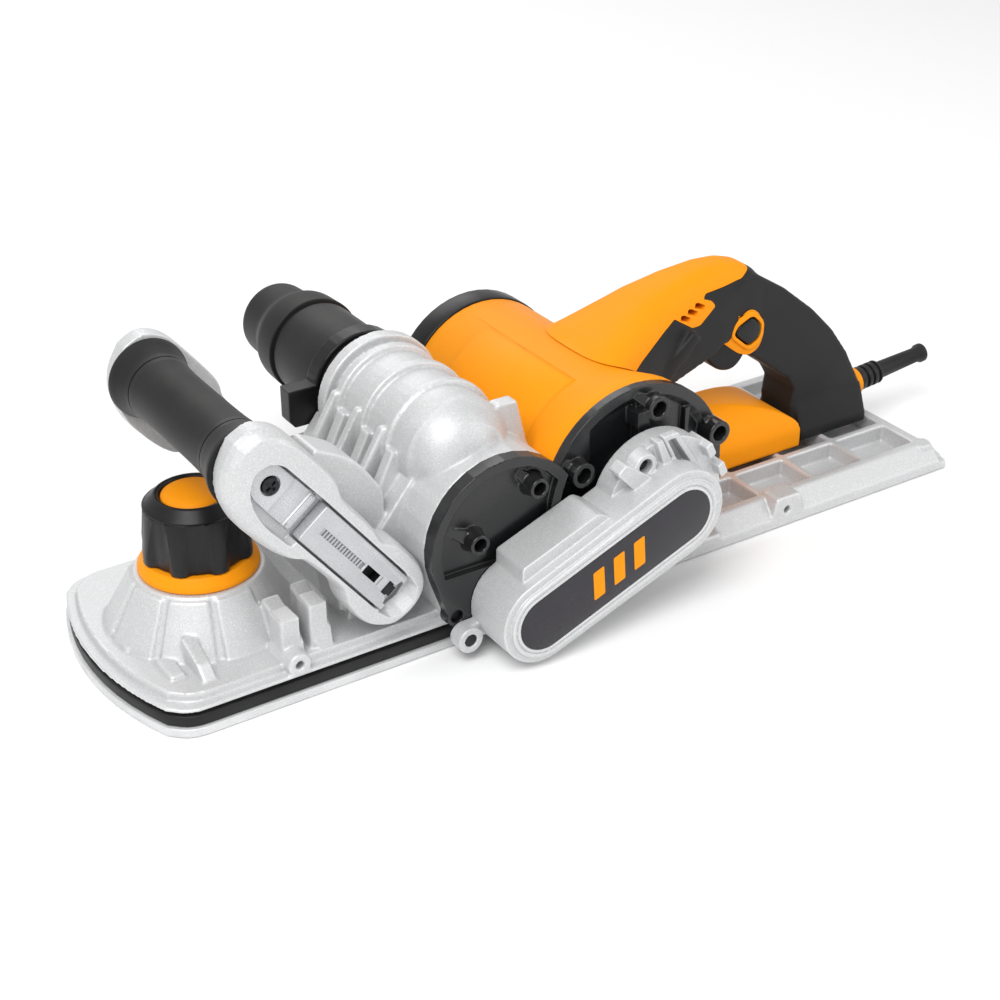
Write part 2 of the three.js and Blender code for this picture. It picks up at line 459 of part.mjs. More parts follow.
// ---- Near end plates and belt cover --------------------------------------------------
const screwSpots = (cx, cz, r, degrees) => degrees.map((d) =>
  [cx + r * Math.cos((d * Math.PI) / 180), cz + r * Math.sin((d * Math.PI) / 180)]);
const drumScrews = [[-40, 30], [-26, 82], [19, 109]];
const TUBE_OUT = [0, 7, 7];      // how far each screw tube stands out of the plate
const drumPlateShape = cut(
  slab(drumSide(0, 18), PLATE_Y, -HALF - GAP),
  box(-80, 80, PLATE_Y - 1, 13 - HALF, -20, LIP_Z),
  rod('y', M, PLATE_Y - 1, 13 - HALF, PLATE_R + GAP, PLATE_R + GAP, 64));
const dish = slab(capsule(-1, DRUM_Z + 18, LOWER_R - 12, VOLUTE_X, VOLUTE_Z, VOLUTE_R - 7, 14),
  PLATE_Y - 1, PLATE_Y + 5).intersect(cut(box(-80, 80, PLATE_Y - 2, PLATE_Y + 6, 60, 140),
  rod('y', M, PLATE_Y - 3, 13 - HALF, PLATE_R + 7, PLATE_R + 7, 64)));
piece('drum_side_plate', cut(union(cut(drumPlateShape, dish),
  ...drumScrews.map((p, i) => rod('y', p, PLATE_Y - TUBE_OUT[i], -HALF - 2, 7, 8, 24))),
rod('y', [0, DRUM_Z], PLATE_Y + 1, 3 - HALF, BEARING_OUT + GAP, BEARING_OUT + GAP, 28),
rod('y', [0, DRUM_Z], PLATE_Y - 6, 3 - HALF, SHAFT_R + 1, SHAFT_R + 1, 24),
...drumScrews.map((p) => rod('y', p, PLATE_Y - 8, PLATE_Y + 8, 4.6, 4.6, 16))), 'black');
drumScrews.forEach((p, i) => piece(`plate_screw_${i + 1}`,
  rod('y', p, PLATE_Y + 3.5, PLATE_Y + 8 - GAP, 4.2, 4.2, 12), 'steel'));

const MPLATE_OUT = FLARE_Y - 8;
const motorScrews = [[60, 102], [120, 134], [173, 101]];
const motorPlateShape = cut(
  rod('y', M, MPLATE_OUT, FLARE_Y - GAP, PLATE_R, PLATE_R, 64),
  box(0, 250, COVER_Y, 0, -10, PAD_TOP + GAP),
  slab(drumSide(0.6, 18), COVER_Y, -HALF + GAP));
const motorDish = cut(rod('y', M, MPLATE_OUT - 1, MPLATE_OUT + 4, PLATE_R - 6, PLATE_R - 12, 48),
  rod('y', M, COVER_Y, 0, 30, 30, 32), box(0, 250, COVER_Y, 0, 0, 60),
  box(0, MOTOR_X - 40, COVER_Y, 0, 0, 200),
  ...[92, 28].map((d) => {
    const [x, z] = screwSpots(MOTOR_X, MOTOR_Z, PLATE_R - 26, [d])[0];
    return box(x - 2, x + 2, COVER_Y, 0, z - 24, z + 24);
  }));
piece('motor_end_plate', cut(union(cut(motorPlateShape, motorDish),
  ...motorScrews.map((p) => rod('y', p, MPLATE_OUT - 10, FLARE_Y - 2, 9, 9, 18)),
  box(MOTOR_X - 8, MOTOR_X + 2, MPLATE_OUT - 9, MPLATE_OUT + 3,
    MOTOR_Z + PLATE_R - 26, MOTOR_Z + PLATE_R - 14)),
rod('y', M, FLARE_Y - 4.5, 0, 14 + GAP, 14 + GAP, 24), rod('y', M, COVER_Y, 0, 8, 8, 20),
...motorScrews.map((p) => rod('y', p, MPLATE_OUT - 12, MPLATE_OUT - 3, 5.2, 5.2, 16))), 'black');

const COVER_WALL = 4;
const COVER_IN = PLATE_Y - GAP;
const coverBox = (grow, y0, y1) => slab(capsule(0, DRUM_Z, COVER_R - 1 + grow, MOTOR_X, MOTOR_Z,
  COVER_R + 1 + grow, 16), y0, y1);
const raised = slab([[-11, DRUM_Z + 18], [-10.5, DRUM_Z + 38, 2], [48, 94, 3], [64, 84], [60, 50]],
  COVER_Y + 11, COVER_IN);
const crown = rod('y', M, COVER_Y + 25, COVER_IN, 47, 47, 40);
const BADGE_R = 19;
const badgeShape = (grow) => capsule(0, DRUM_Z, BADGE_R + grow, MOTOR_X, MOTOR_Z, BADGE_R + grow, 16);
const ears = [[-37, 17], [91, MOTOR_Z + 34]];
const EAR_Y = COVER_Y + 31;
const CROWN_Y = COVER_Y + 25;
piece('belt_cover', cut(union(coverBox(0, COVER_Y + 3, COVER_IN), coverBox(-5, COVER_Y, COVER_Y + 4),
  raised, crown.intersect(box(60, 200, COVER_Y, -HALF, 40, 200)),
  rod('y', ears[0], EAR_Y, COVER_IN, 9, 9, 20), box(-37, -20, EAR_Y + 4, COVER_IN, 15, 26)),
coverBox(-COVER_WALL, COVER_Y + COVER_WALL + 3, COVER_IN + 1),
slab(badgeShape(GAP), COVER_Y - 1, COVER_Y + 1.6),
rod('y', ears[1], CROWN_Y - 2, CROWN_Y + 4, 5.5, 5.5, 18),
rod('y', ears[0], EAR_Y - 2, EAR_Y + 4, 4.6, 4.6, 16),
  slab([[110, 122], [117, 123], [130, 100], [124, 98]], CROWN_Y - 2, CROWN_Y + 4)), 'cast');
piece('cover_badge', slab(badgeShape(0), COVER_Y + 0.3, COVER_Y + 1.3), 'dark');
piece('cover_screw_1', rod('y', ears[0], EAR_Y + 0.5, EAR_Y + 4 - GAP, 4.2, 4.2, 12), 'steel');
piece('cover_screw_2', rod('y', ears[1], CROWN_Y + 0.5, CROWN_Y + 4 - GAP, 4.8, 4.8, 12), 'steel');

// ---- Dust port ------------------------------------------------------------------------
const portIn = CHUTE_END_Y + GAP;
piece('dust_port', turned([[PORT_R - 4, portIn], [PORT_R, portIn], [PORT_R, 132], [PORT_R - 1.5, 133],
  [PORT_R - 1.5, 136], [PORT_R - 0.5, 137], [PORT_R - 2.5, 160], [NOZZLE_R + 1, 168],
  [NOZZLE_R, PORT_END_Y - 3], [NOZZLE_R - 1, PORT_END_Y], [NOZZLE_R - 4, PORT_END_Y],
  [NOZZLE_R - 4, 164], [PORT_R - 4, 156]], 'y', [CHUTE_X, CHUTE_Z], 36), 'black');
piece('port_clamp', cut(union(
  rod('y', [CHUTE_X, CHUTE_Z], HOUSE_HALF + 1, HOUSE_HALF + 15, PORT_R + 4, PORT_R + 4, 36),
  box(CHUTE_X - PORT_R - 23.5, CHUTE_X - PORT_R + 4.5, HOUSE_HALF + 1, HOUSE_HALF + 15,
    CHUTE_Z - 20, CHUTE_Z + 8)),
rod('y', [CHUTE_X, CHUTE_Z], CHUTE_END_Y, HALF, PORT_R + GAP, PORT_R + GAP, 36)), 'black');

// ---- Front handle ------------------------------------------------------------------------
const armLength = Math.hypot(PIVOT_X - GRIP_X, PIVOT_Z - GRIP_Z);
const dirX = (PIVOT_X - GRIP_X) / armLength;
const dirZ = (PIVOT_Z - GRIP_Z) / armLength;
// Point on the arm: u along it from the grip axis, v across it toward the rear.
const onArm = (u, v) => [GRIP_X + dirX * u - dirZ * v, GRIP_Z + dirZ * u + dirX * v];
const HEAD_R = 31;
const FOOT_R = 24;
const armOutline = (grow) => capsule(GRIP_X, GRIP_Z, HEAD_R + grow, PIVOT_X, PIVOT_Z, FOOT_R + grow, 16);
const armBody = (y0, y1) => slab(armOutline(0), y0, y1);
const nearRecess = slab([onArm(-20, -14), onArm(-20, 14), onArm(armLength + 12, 16.5),
  onArm(armLength + 12, -16.5)].map((p) => [...p, 3]), -ARM_OUT - 1, -ARM_OUT + 11);
const tailPocket = slab([onArm(armLength - 10, -16.3), onArm(armLength - 10, 16.3),
  onArm(armLength + 12, 16.3), onArm(armLength + 12, -16.3)], -ARM_OUT - 1, -ARM_OUT + 14);
piece('handle_arm_near', cut(armBody(-ARM_OUT, -ARM_IN), nearRecess, tailPocket,
  rod('y', [PIVOT_X, PIVOT_Z], -ARM_OUT - 6, -ARM_IN + 13, BOLT_R + GAP, BOLT_R + GAP, 20),
  rod('y', [GRIP_X, GRIP_Z], -ARM_OUT - 6, -ARM_IN + 13, 4, 4, 16)), 'cast');
piece('handle_arm_far', cut(armBody(ARM_IN, ARM_OUT),
  rod('y', [PIVOT_X, PIVOT_Z], ARM_IN - 13, ARM_OUT + 6, BOLT_R + GAP, BOLT_R + GAP, 20),
  rod('y', [GRIP_X, GRIP_Z], ARM_IN - 13, ARM_OUT + 6, 4, 4, 16)), 'cast');
const gripEnd = ARM_IN - GAP;
piece('front_grip', turned([[4, -gripEnd], [27.5, -gripEnd], [25, -gripEnd + 8], [22.2, 20 - gripEnd],
  [21.4, 42 - gripEnd], [21.6, 0], [21.6, gripEnd - 42], [22.6, gripEnd - 20], [25, gripEnd - 8],
  [27.5, gripEnd], [4, gripEnd]],
'y', [GRIP_X, GRIP_Z], 28), 'rubber');
piece('grip_rod', union(
  rod('y', [GRIP_X, GRIP_Z], -ARM_IN - 7, ARM_OUT + 1, 3.4, 3.4, 16),
  rod('y', [GRIP_X, GRIP_Z], ARM_OUT + GAP, ARM_OUT + 4, 8, 7, 20)), 'steel');
const recessFloor = -ARM_OUT + 11 - GAP;
piece('arm_plate', slab([onArm(-12, -12), onArm(-12, 12), onArm(20, 13), onArm(20, -13)],
  recessFloor - 6, recessFloor), 'cast');
const screwAt = onArm(8, 0);
piece('arm_screw', cut(rod('y', screwAt, recessFloor - 9, recessFloor - 6 - GAP, 5.4, 6, 18),
  box(screwAt[0] - 3.6, screwAt[0] + 3.6, recessFloor - 10, recessFloor - 7.6,
    screwAt[1] - 0.9, screwAt[1] + 0.9),
  box(screwAt[0] - 0.9, screwAt[0] + 0.9, recessFloor - 10, recessFloor - 7.6,
    screwAt[1] - 3.6, screwAt[1] + 3.6)), 'dark');
const leverEnd = armLength + 6;
piece('lock_lever', cut(slab([onArm(48, -14), onArm(48, 14), onArm(leverEnd, 15.6),
  onArm(leverEnd, -15.6)], -ARM_OUT + 1, recessFloor),
slab([onArm(57, -2.5), onArm(57, 2.5), onArm(101, 2.5), onArm(101, -2.5)], -ARM_OUT, -ARM_OUT + 3),
slab([onArm(102, -3), onArm(102, 3), onArm(116, 3), onArm(116, -3)], -ARM_OUT, -ARM_OUT + 5),
slab([onArm(armLength - 4, -4), onArm(armLength - 4, 4), onArm(leverEnd + 2, 4),
  onArm(leverEnd + 2, -4)], -ARM_OUT, -ARM_OUT + 6)), 'cast');
[-1, 1].forEach((s) => {
  const shank = rod('y', [PIVOT_X, PIVOT_Z],
    ...reach(s, ARM_IN - 11, s < 0 ? ARM_OUT - 14.6 : ARM_OUT + 1), BOLT_R, BOLT_R, 20);
  piece(s < 0 ? 'pivot_bolt_near' : 'pivot_bolt_far', s < 0 ? shank
    : union(shank, rod('y', [PIVOT_X, PIVOT_Z], ARM_OUT + GAP, ARM_OUT + 6, 12, 11, 24)), 'steel');
});

// ---- Rear handle -------------------------------------------------------------------------
const aroundMotor = rod('y', M, COVER_Y, HALF + 47, MOTOR_R + 2 * GAP, MOTOR_R + 2 * GAP, 64);
const spineTop = [[120, 138], [150, 154, 12], [190, 168, 20], [236, 177, 14], [262, 176, 6],
  [272, 167, 3]];
const seam = [[252, 152], [205, 131], [160, 120]];
const taper = (grow) => [[118, -50 - grow], [200, -30 - grow, 20], [280, -HANDLE_HALF - grow],
  [280, HANDLE_HALF + grow], [200, 30 + grow, 20], [118, 50 + grow]];
piece('rear_body', cut(slab([...spineTop, ...seam, [120, 112]].reverse(), -60, 60)
  .intersect(plate(taper(1), 90, 190)), aroundMotor, flareRoom), 'orange');
const loopOuter = [[160, 120 - GAP], [205, 131 - GAP], [252, 152 - GAP], [272, 166, 3],
  [302, 153, 24], [338, 124, 30], [370, 84, 26], [391, 44, 14], [388, RIB_TOP + GAP, 6],
  [316, RIB_TOP + GAP, 2], [314, 48, 8], [318, 60, 14], [304, 88, 16], [284, 97, 6],
  [232, 92, 6], [214, 88, 12], [180, 92, 10], [160, 84]];
const triggerSlot = box(231, 279, -9, 9, 80, 122);
const switchRoom = box(231, 279, -12, 12, 121, 145);
const lockPocket = slab([[255, 107], [283, 110], [281, 132], [268, 136]],
  -HANDLE_HALF - 3, -HANDLE_HALF + 7);
piece('rear_handle', cut(slab(loopOuter.slice().reverse(), -30, 30, 5)
  .intersect(plate([[140, -40], [165, -34], [214, -HANDLE_HALF, 20], [395, -HANDLE_HALF, 8],
    [395, HANDLE_HALF, 8], [214, HANDLE_HALF, 20], [165, 34], [140, 40]], 0, 190)),
aroundMotor, triggerSlot, switchRoom, lockPocket), 'black');
const FOOT_X = MOTOR_X + 44 + GAP;
const footTop = slab([[FOOT_X, RIB_TOP + GAP], [314 - GAP, RIB_TOP + GAP], [314 - GAP, 36, 4],
  [270, 46, 20], [FOOT_X, 60]], -FOOT_HALF, FOOT_HALF);
piece('rear_foot', cut(footTop, aroundMotor), 'orange');

piece('trigger', slab([[233, 119], [242, 119], [277, 112, 3], [276, 98, 8], [262, 82, 10], [250, 84, 8],
  [236, 98, 10]].reverse(), -8.5, 8.5), 'black');
piece('trigger_bezel', cut(slab([[230, 104, 3], [262, 128, 6], [264, 140, 8], [284, 140, 10],
  [292, 122, 8], [284, 99, 6], [258, 106, 8], [236, 98, 3]].reverse(),
-HANDLE_HALF - 2.3, -HANDLE_HALF - GAP),
slab([[256, 108], [282, 111], [280, 131], [268, 135]].map(([x, z]) =>
  [268.5 + (x - 268.5) * 1.05, 121 + (z - 121) * 1.05]).reverse(),
-HANDLE_HALF - 4, -HANDLE_HALF + 8)), 'orange');
piece('lock_button', slab([[256, 108, 3], [282, 111, 3], [280, 131, 3], [268, 135, 3]].reverse(),
  -HANDLE_HALF - 5, -HANDLE_HALF + 2), 'black');
piece('switch_block', box(235, 276, -10, 10, 122.5, 143), 'dark');

// ---- Cord entry -------------------------------------------------------------------------
const BOOT_RISE = (5 * Math.PI) / 180;
const CORD = [0, 40];
const slant = (body) => {
  const [c, s] = [Math.cos(BOOT_RISE), Math.sin(BOOT_RISE)];
  return body.translate([-388, 0, -CORD[1]])
    .transform([c, 0, s, 0, 0, 1, 0, 0, -s, 0, c, 0, 0, 0, 0, 1])
    .translate([388, 0, CORD[1]]);
};
piece('boot_ring', slant(pipe('x', CORD, 392, 397, 11, 7, 28)), 'orange');
const grooves = [403, 409, 415].map((x) => pipe('x', CORD, x, x + 2.5, 14, 7.4, 24));
piece('cord_boot', slant(cut(turned([[0, 392.5], [6.5, 392.5], [6.5, 397.3], [9.5, 397.3],
  [9.5, 419], [7, 421], [6, 462], [7.6, 465], [7.6, 469], [0, 469]], 'x', CORD, 24), ...grooves)),
'black');

// ---- Centre the whole group on its footprint ----------------------------------------------
const bounds = new THREE.Box3().setFromObject(group);
const shift = [-(bounds.min.x + bounds.max.x) / 2, -(bounds.min.y + bounds.max.y) / 2, -bounds.min.z];
group.children.forEach((mesh) => mesh.geometry.translate(...shift));

export default group;
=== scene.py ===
"""Looks of a wide electric hand planer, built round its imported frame.

Lengths in this file are millimetres from the datum (cutter axis, middle of
the soles, underside) until the bench turns them into metres in the frame.
"""
import logging
import math
from contextlib import contextmanager
from dataclasses import dataclass, field
from enum import Enum
from typing import Iterator, Sequence

import bpy
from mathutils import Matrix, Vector


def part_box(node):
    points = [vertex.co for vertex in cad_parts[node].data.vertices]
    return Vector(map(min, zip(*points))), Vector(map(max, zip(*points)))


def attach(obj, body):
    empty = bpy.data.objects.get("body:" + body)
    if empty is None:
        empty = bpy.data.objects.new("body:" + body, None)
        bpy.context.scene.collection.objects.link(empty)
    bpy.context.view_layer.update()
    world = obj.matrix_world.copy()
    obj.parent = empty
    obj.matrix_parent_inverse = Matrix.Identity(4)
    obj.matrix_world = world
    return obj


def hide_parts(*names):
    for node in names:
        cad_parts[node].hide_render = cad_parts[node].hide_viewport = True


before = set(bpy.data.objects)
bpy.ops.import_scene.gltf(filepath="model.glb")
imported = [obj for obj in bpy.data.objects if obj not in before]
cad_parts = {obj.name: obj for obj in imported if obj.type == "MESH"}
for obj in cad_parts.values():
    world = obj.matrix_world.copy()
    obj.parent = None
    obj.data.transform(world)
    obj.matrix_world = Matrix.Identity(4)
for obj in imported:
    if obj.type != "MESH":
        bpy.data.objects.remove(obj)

LOG = logging.getLogger("planer")
MM = 0.001
SAME = 1e-7  # metres between two points that are one
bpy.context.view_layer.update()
Corner = Sequence[float]
Point = tuple[float, float]
Obj = bpy.types.Object
Socket = bpy.types.NodeSocket

DRUM_AXIS = (0.0, 34.0)  # x, z
MOTOR_AXIS = (111.0, 77.0)  # x, z
CHUTE_AXIS = (-10.0, 121.0)  # x, z
KNOB_AXIS = (-170.0, 0.0)  # x, y
PIVOT_AXIS = (-81.0, 57.0)  # x, z


class Axis(Enum):
    """Direction a round shape runs in."""

    X = "x"
    Y = "y"
    Z = "z"


class Cut(Enum):
    """What a tool shape does to a body."""

    ADD = "UNION"
    TAKE = "DIFFERENCE"
    KEEP = "INTERSECT"


# ---------------------------------------------------------------- outlines
def rounded(corners: Sequence[Corner], steps: int = 5) -> list[Point]:
    """Rounds the corners of a closed outline.

    Args:
        corners: (u, v) or (u, v, radius) of each corner, in order.
        steps: Straight bits that each rounded corner is made of.

    Returns:
        The outline's points.
    """
    points: list[Point] = []
    count = len(corners)
    for i, corner in enumerate(corners):
        here = Vector(corner[:2])
        radius = corner[2] if len(corner) > 2 else 0.0
        if not radius:
            points.append((here.x, here.y))
            continue
        before, after = (Vector(corners[(i + k) % count][:2]) - here for k in (-1, 1))
        start = here + before.normalized() * min(radius, before.length * 0.48)
        end = here + after.normalized() * min(radius, after.length * 0.48)
        for k in range(steps + 1):
            t = k / steps
            p = start * (1 - t) ** 2 + here * (2 * t * (1 - t)) + end * t**2
            points.append((p.x, p.y))
    return points


def capsule(first: Corner, second: Corner, steps: int = 28) -> list[Point]:
    """Outline round two circles, each (u, v, radius)."""
    (x1, z1, r1), (x2, z2, r2) = first, second
    along = math.atan2(z2 - z1, x2 - x1)
    lean = math.acos((r1 - r2) / math.hypot(x2 - x1, z2 - z1))
    turns = [(x1, z1, r1, along + lean, 2 * math.pi - 2 * lean), (x2, z2, r2, along - lean, 2 * lean)]
    return [(x + r * math.cos(start + sweep * i / steps), z + r * math.sin(start + sweep * i / steps)) for x,
        z, r, start, sweep in turns for i in range(steps + 1)]


def spline(points: Sequence[Corner], steps: int = 4) -> list[Point]:
    """Smooth open curve through the points (Catmull-Rom)."""
    ends = [points[0], *points, points[-1]]
    out: list[Point] = []
    for i in range(1, len(ends) - 2):
        a, b, c, d = (Vector(p[:2]) for p in ends[i - 1 : i + 3])
        for k in range(steps):
            t = k / steps
            square, cube = 2 * a - 5 * b + 4 * c - d, 3 * b - a - 3 * c + d
            p = 0.5 * (2 * b + (c - a) * t + square * t**2 + cube * t**3)
            out.append((p.x, p.y))
    out.append(tuple(points[-1][:2]))
    return out


# ---------------------------------------------------------------- the bench
class Bench:
    """Modelling tools. Every shape ends up at the origin, its place in its mesh."""

    def __init__(self) -> None:
        """Finds the datum from the frame's own pieces."""
        bearing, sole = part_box("drum_bearing_far"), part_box("rear_sole")
        self.datum = Vector(((bearing[0].x + bearing[1].x) / 2, (sole[0].y + sole[1].y) / 2, 0))

    def place(self, x: float, y: float, z: float) -> Vector:
        """Row-frame point, in metres, of a point given from the datum in millimetres."""
        return self.datum + Vector((x, y, z)) * MM

    @staticmethod
    def deselect() -> None:
        """Leaves nothing selected."""
        for other in list(bpy.context.selected_objects):
            other.select_set(False)

    def pick(self, obj: Obj) -> Obj:
        """Selects this object alone and makes it active."""
        self.deselect()
        obj.select_set(True)
        bpy.context.view_layer.objects.active = obj
        return obj

    @contextmanager
    def editing(self, obj: Obj) -> Iterator[None]:
        """Edit mode on one object with its whole mesh selected."""
        self.pick(obj)
        bpy.ops.object.mode_set(mode="EDIT")
        bpy.ops.mesh.select_all(action="SELECT")
        yield
        bpy.ops.object.mode_set(mode="OBJECT")

    def polygon(self, points: Sequence[Vector], fill: str = "NGON") -> Obj:
        """A flat outline through row-frame points, filled or not."""
        self.deselect()
        bpy.ops.mesh.primitive_circle_add(vertices=len(points), fill_type=fill)
        obj = bpy.context.object
        for vertex, point in zip(obj.data.vertices, points):
            vertex.co = point
        return obj

    def extrude(self, points: Sequence[Vector], by: Vector) -> Obj:
        """Closed body from an outline pushed along a vector."""
        obj = self.polygon(points)
        with self.editing(obj):
            bpy.ops.mesh.extrude_region_move(TRANSFORM_OT_translate={"value": by})
            bpy.ops.mesh.select_all(action="SELECT")
            bpy.ops.mesh.normals_make_consistent(inside=False)
        return obj

    def slab(self, outline: Sequence[Corner], y0: float, y1: float) -> Obj:
        """Side-view outline (x, z) from y0 to y1."""
        points = [self.place(x, y0, z) for x, z in rounded(outline)]
        return self.extrude(points, Vector((0, (y1 - y0) * MM, 0)))

    def plate(self, outline: Sequence[Corner], z0: float, z1: float) -> Obj:
        """Plan outline (x, y) from z0 to z1."""
        points = [self.place(x, y, z0) for x, y in rounded(outline)]
        return self.extrude(points, Vector((0, 0, (z1 - z0) * MM)))

    def stack(self, sections: Sequence[Sequence[Corner]]) -> Obj:
        """Closed body through flat sections with equally many points, each (x, y, z)."""
        rings = [[self.place(*point) for point in section] for section in sections]
        obj = self.polygon(rings[0])
        for before, after in zip(rings, rings[1:]):
            self.pick(obj)
            spots = [vertex.co for vertex in obj.data.vertices]
            for face in obj.data.polygons:
                face.select = all(min((spots[v] - p).length for p in before) < SAME for v in face.vertices)
            bpy.ops.object.mode_set(mode="EDIT")
            bpy.ops.mesh.select_mode(type="FACE")
            bpy.ops.mesh.extrude_region_move()
            bpy.ops.object.mode_set(mode="OBJECT")
            for vertex in [v for v in obj.data.vertices if v.select]:
                nearest = min(range(len(before)), key=lambda i: (vertex.co - before[i]).length_squared)
                vertex.co = after[nearest]
        with self.editing(obj):
            bpy.ops.mesh.normals_make_consistent(inside=False)
        return obj

    def twin(self, obj: Obj) -> Obj:
        """A second copy of a body."""
        self.pick(obj)
        bpy.ops.object.duplicate()
        return bpy.context.object

    def beam(self, outline: Sequence[Corner], x0: float, x1: float) -> Obj:
        """End-view outline (y, z) from x0 to x1."""
        points = [self.place(x0, y, z) for y, z in rounded(outline)]
        return self.extrude(points, Vector(((x1 - x0) * MM, 0, 0)))

    def block(self, x: Corner, y: Corner, z: Corner) -> Obj:
        """Box between two values on each axis, to cut with or build on."""
        return self.plate([(x[0], y[0]), (x[1], y[0]), (x[1], y[1]), (x[0], y[1])], z[0], z[1])

    def rod(self, axis: Axis, at: Corner, start: float, end: float, r1: float, r2: float | None = None,
            sides: int = 64) -> Obj:
        """Round bar or cone.

        Args:
            axis: Direction it runs in.
            at: The two other coordinates of its centre line.
            start: Where it begins along the axis.
            end: Where it ends.
            r1: Radius at its start.
            r2: Radius at its end, or the same.
            sides: Facets round it.
        """
        middle = (start + end) / 2
        spot = {Axis.X: (middle, *at), Axis.Y: (at[0], middle, at[1]), Axis.Z: (*at, middle)}[axis]
        turn = {Axis.X: (0, math.pi / 2, 0), Axis.Y: (-math.pi / 2, 0, 0), Axis.Z: (0, 0, 0)}[axis]
        self.deselect()
        bpy.ops.mesh.primitive_cone_add(vertices=sides, radius1=r1 * MM,
            radius2=(r1 if r2 is None else r2) * MM, depth=(end - start) * MM, location=self.place(*spot),
            rotation=turn)
        bpy.ops.object.transform_apply(location=True, rotation=True, scale=True)
        return bpy.context.object

    def turned(self, profile: Sequence[Corner], axis: Axis, at: Corner, sides: int = 72) -> Obj:
        """Body of revolution.

        Args:
            profile: Closed outline as (radius, along) or (radius, along, rounding).
            axis: Direction of its axis.
            at: The two other coordinates of its axis.
            sides: Facets round it.
        """
        def spot(r: float, a: float) -> Vector:
            """Profile point in the frame."""
            return self.place(*{Axis.X: (a, at[0], at[1] + r), Axis.Y: (at[0] + r, a, at[1]),
                Axis.Z: (at[0] + r, at[1], a)}[axis])
        obj = self.polygon([spot(r, a) for r, a in rounded(profile, 4)], "NOTHING")
        way = {Axis.X: (1, 0, 0), Axis.Y: (0, 1, 0), Axis.Z: (0, 0, 1)}[axis]
        with self.editing(obj):
            bpy.ops.mesh.spin(steps=sides, angle=2 * math.pi, center=spot(0, 0), axis=way)
            bpy.ops.mesh.select_all(action="SELECT")
            bpy.ops.mesh.remove_doubles(threshold=2e-6)
            bpy.ops.mesh.normals_make_consistent(inside=False)
        return obj

    def refit(self, node: str) -> Obj:
        """A merged copy of a frame node, to be worked on as a new piece."""
        obj = bpy.data.objects.new(node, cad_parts[node].data.copy())
        bpy.context.scene.collection.objects.link(obj)
        obj.data.materials.clear()
        self.tidy(obj)
        return obj

    def worked(self, node: str, name: str, body: str, finish: "Finish", width: float, segments: int = 2,
            angle: float = 34.0, sharp: float = 32.0) -> Obj:
        """A frame node with rounded edges, mounted as a finished piece.

        Args:
            node: The frame node it copies and stands for.
            name: The piece's name.
            body: The frame body it moves with.
            finish: Its finish.
            width: Width of its rounded edges.
            segments: Steps across a rounded edge.
            angle: Shading angle.
            sharp: Edges sharper than this are rounded.
        """
        return self.settle(self.bevel(self.refit(node), width, segments, sharp), name, body, finish, angle,
            [node])

    def tidy(self, obj: Obj, merge: float = 0.02, flat: float = 0.8) -> Obj:
        """Merges doubled points and joins faces that lie in one plane."""
        with self.editing(obj):
            bpy.ops.mesh.remove_doubles(threshold=merge * MM)
            bpy.ops.mesh.dissolve_limited(angle_limit=math.radians(flat))
        return obj

    def modify(self, obj: Obj, kind: str, **values: object) -> Obj:
        """Adds a modifier with these values and applies it."""
        self.pick(obj)
        modifier = obj.modifiers.new(kind.lower(), kind)
        for key, value in values.items():
            setattr(modifier, key, value)
        bpy.ops.object.modifier_apply(modifier=modifier.name)
        return obj

    def work(self, body: Obj, cut: Cut, *tools: Obj) -> Obj:
        """Adds, takes or keeps tool shapes on a body, and removes the tools."""
        for tool in tools:
            self.modify(body, "BOOLEAN", operation=cut.value, object=tool, solver="EXACT")
            bpy.data.objects.remove(tool)
        return body

    def bevel(self, obj: Obj, width: float, segments: int = 2, angle: float = 32.0) -> Obj:
        """Rounds every edge that is sharper than the angle."""
        return self.modify(obj, "BEVEL", width=width * MM, segments=segments, limit_method="ANGLE",
            angle_limit=math.radians(angle), use_clamp_overlap=False, miter_outer="MITER_ARC")

    def mould(self, obj: Obj, voxel: float, passes: int = 4, keep: float = 1.0) -> Obj:
        """Gives a body the soft edges and filled corners of a casting.

        Args:
            obj: The body.
            voxel: Grid step.
            passes: Smoothing passes, more for rounder edges.
            keep: Share of the faces kept afterwards.
        """
        self.modify(obj, "REMESH", mode="VOXEL", voxel_size=voxel * MM, adaptivity=0.0)
        self.modify(obj, "SMOOTH", factor=0.5, iterations=passes)
        if keep < 1:
            self.modify(obj, "DECIMATE", decimate_type="COLLAPSE", ratio=keep)
        return obj

    def smooth(self, obj: Obj, angle: float = 34.0) -> Obj:
        """Smooth shading up to an angle."""
        self.pick(obj)
        bpy.ops.object.shade_smooth_by_angle(angle=math.radians(angle))
        return obj

    def settle(self, obj: Obj, name: str, body: str, finish: "Finish", angle: float = 34.0,
            instead: Sequence[str] = ()) -> Obj:
        """Names, dresses and mounts a finished piece.

        Args:
            obj: The piece.
            name: Its name.
            body: The frame body it moves with.
            finish: Its finish.
            angle: Shading angle.
            instead: Frame nodes it stands for.
        """
        obj.name = obj.data.name = name
        obj.data.materials.clear()
        obj.data.materials.append(finish.material())
        self.smooth(obj, angle)
        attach(obj, body)
        if instead:
            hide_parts(*instead)
        LOG.info("%s: %d faces on %s", name, len(obj.data.polygons), body)
        return obj

    def tint(self, obj: Obj, finish: "Finish", zone: Sequence[Corner], y0: float, y1: float) -> None:
        """Gives the faces inside a side-view outline and between two y values a second finish."""
        obj.data.materials.append(finish.material())
        slot = len(obj.data.materials) - 1
        corners = [Vector(p[:2]) for p in zone]
        for face in obj.data.polygons:
            spot = (face.center - self.datum) / MM
            here = Vector((spot.x, spot.z))
            turns = [(b - a).cross(here - a) for a, b in zip(corners, corners[1:] + corners[:1])]
            if y0 < spot.y < y1 and (min(turns) > 0 or max(turns) < 0):
                face.material_index = slot


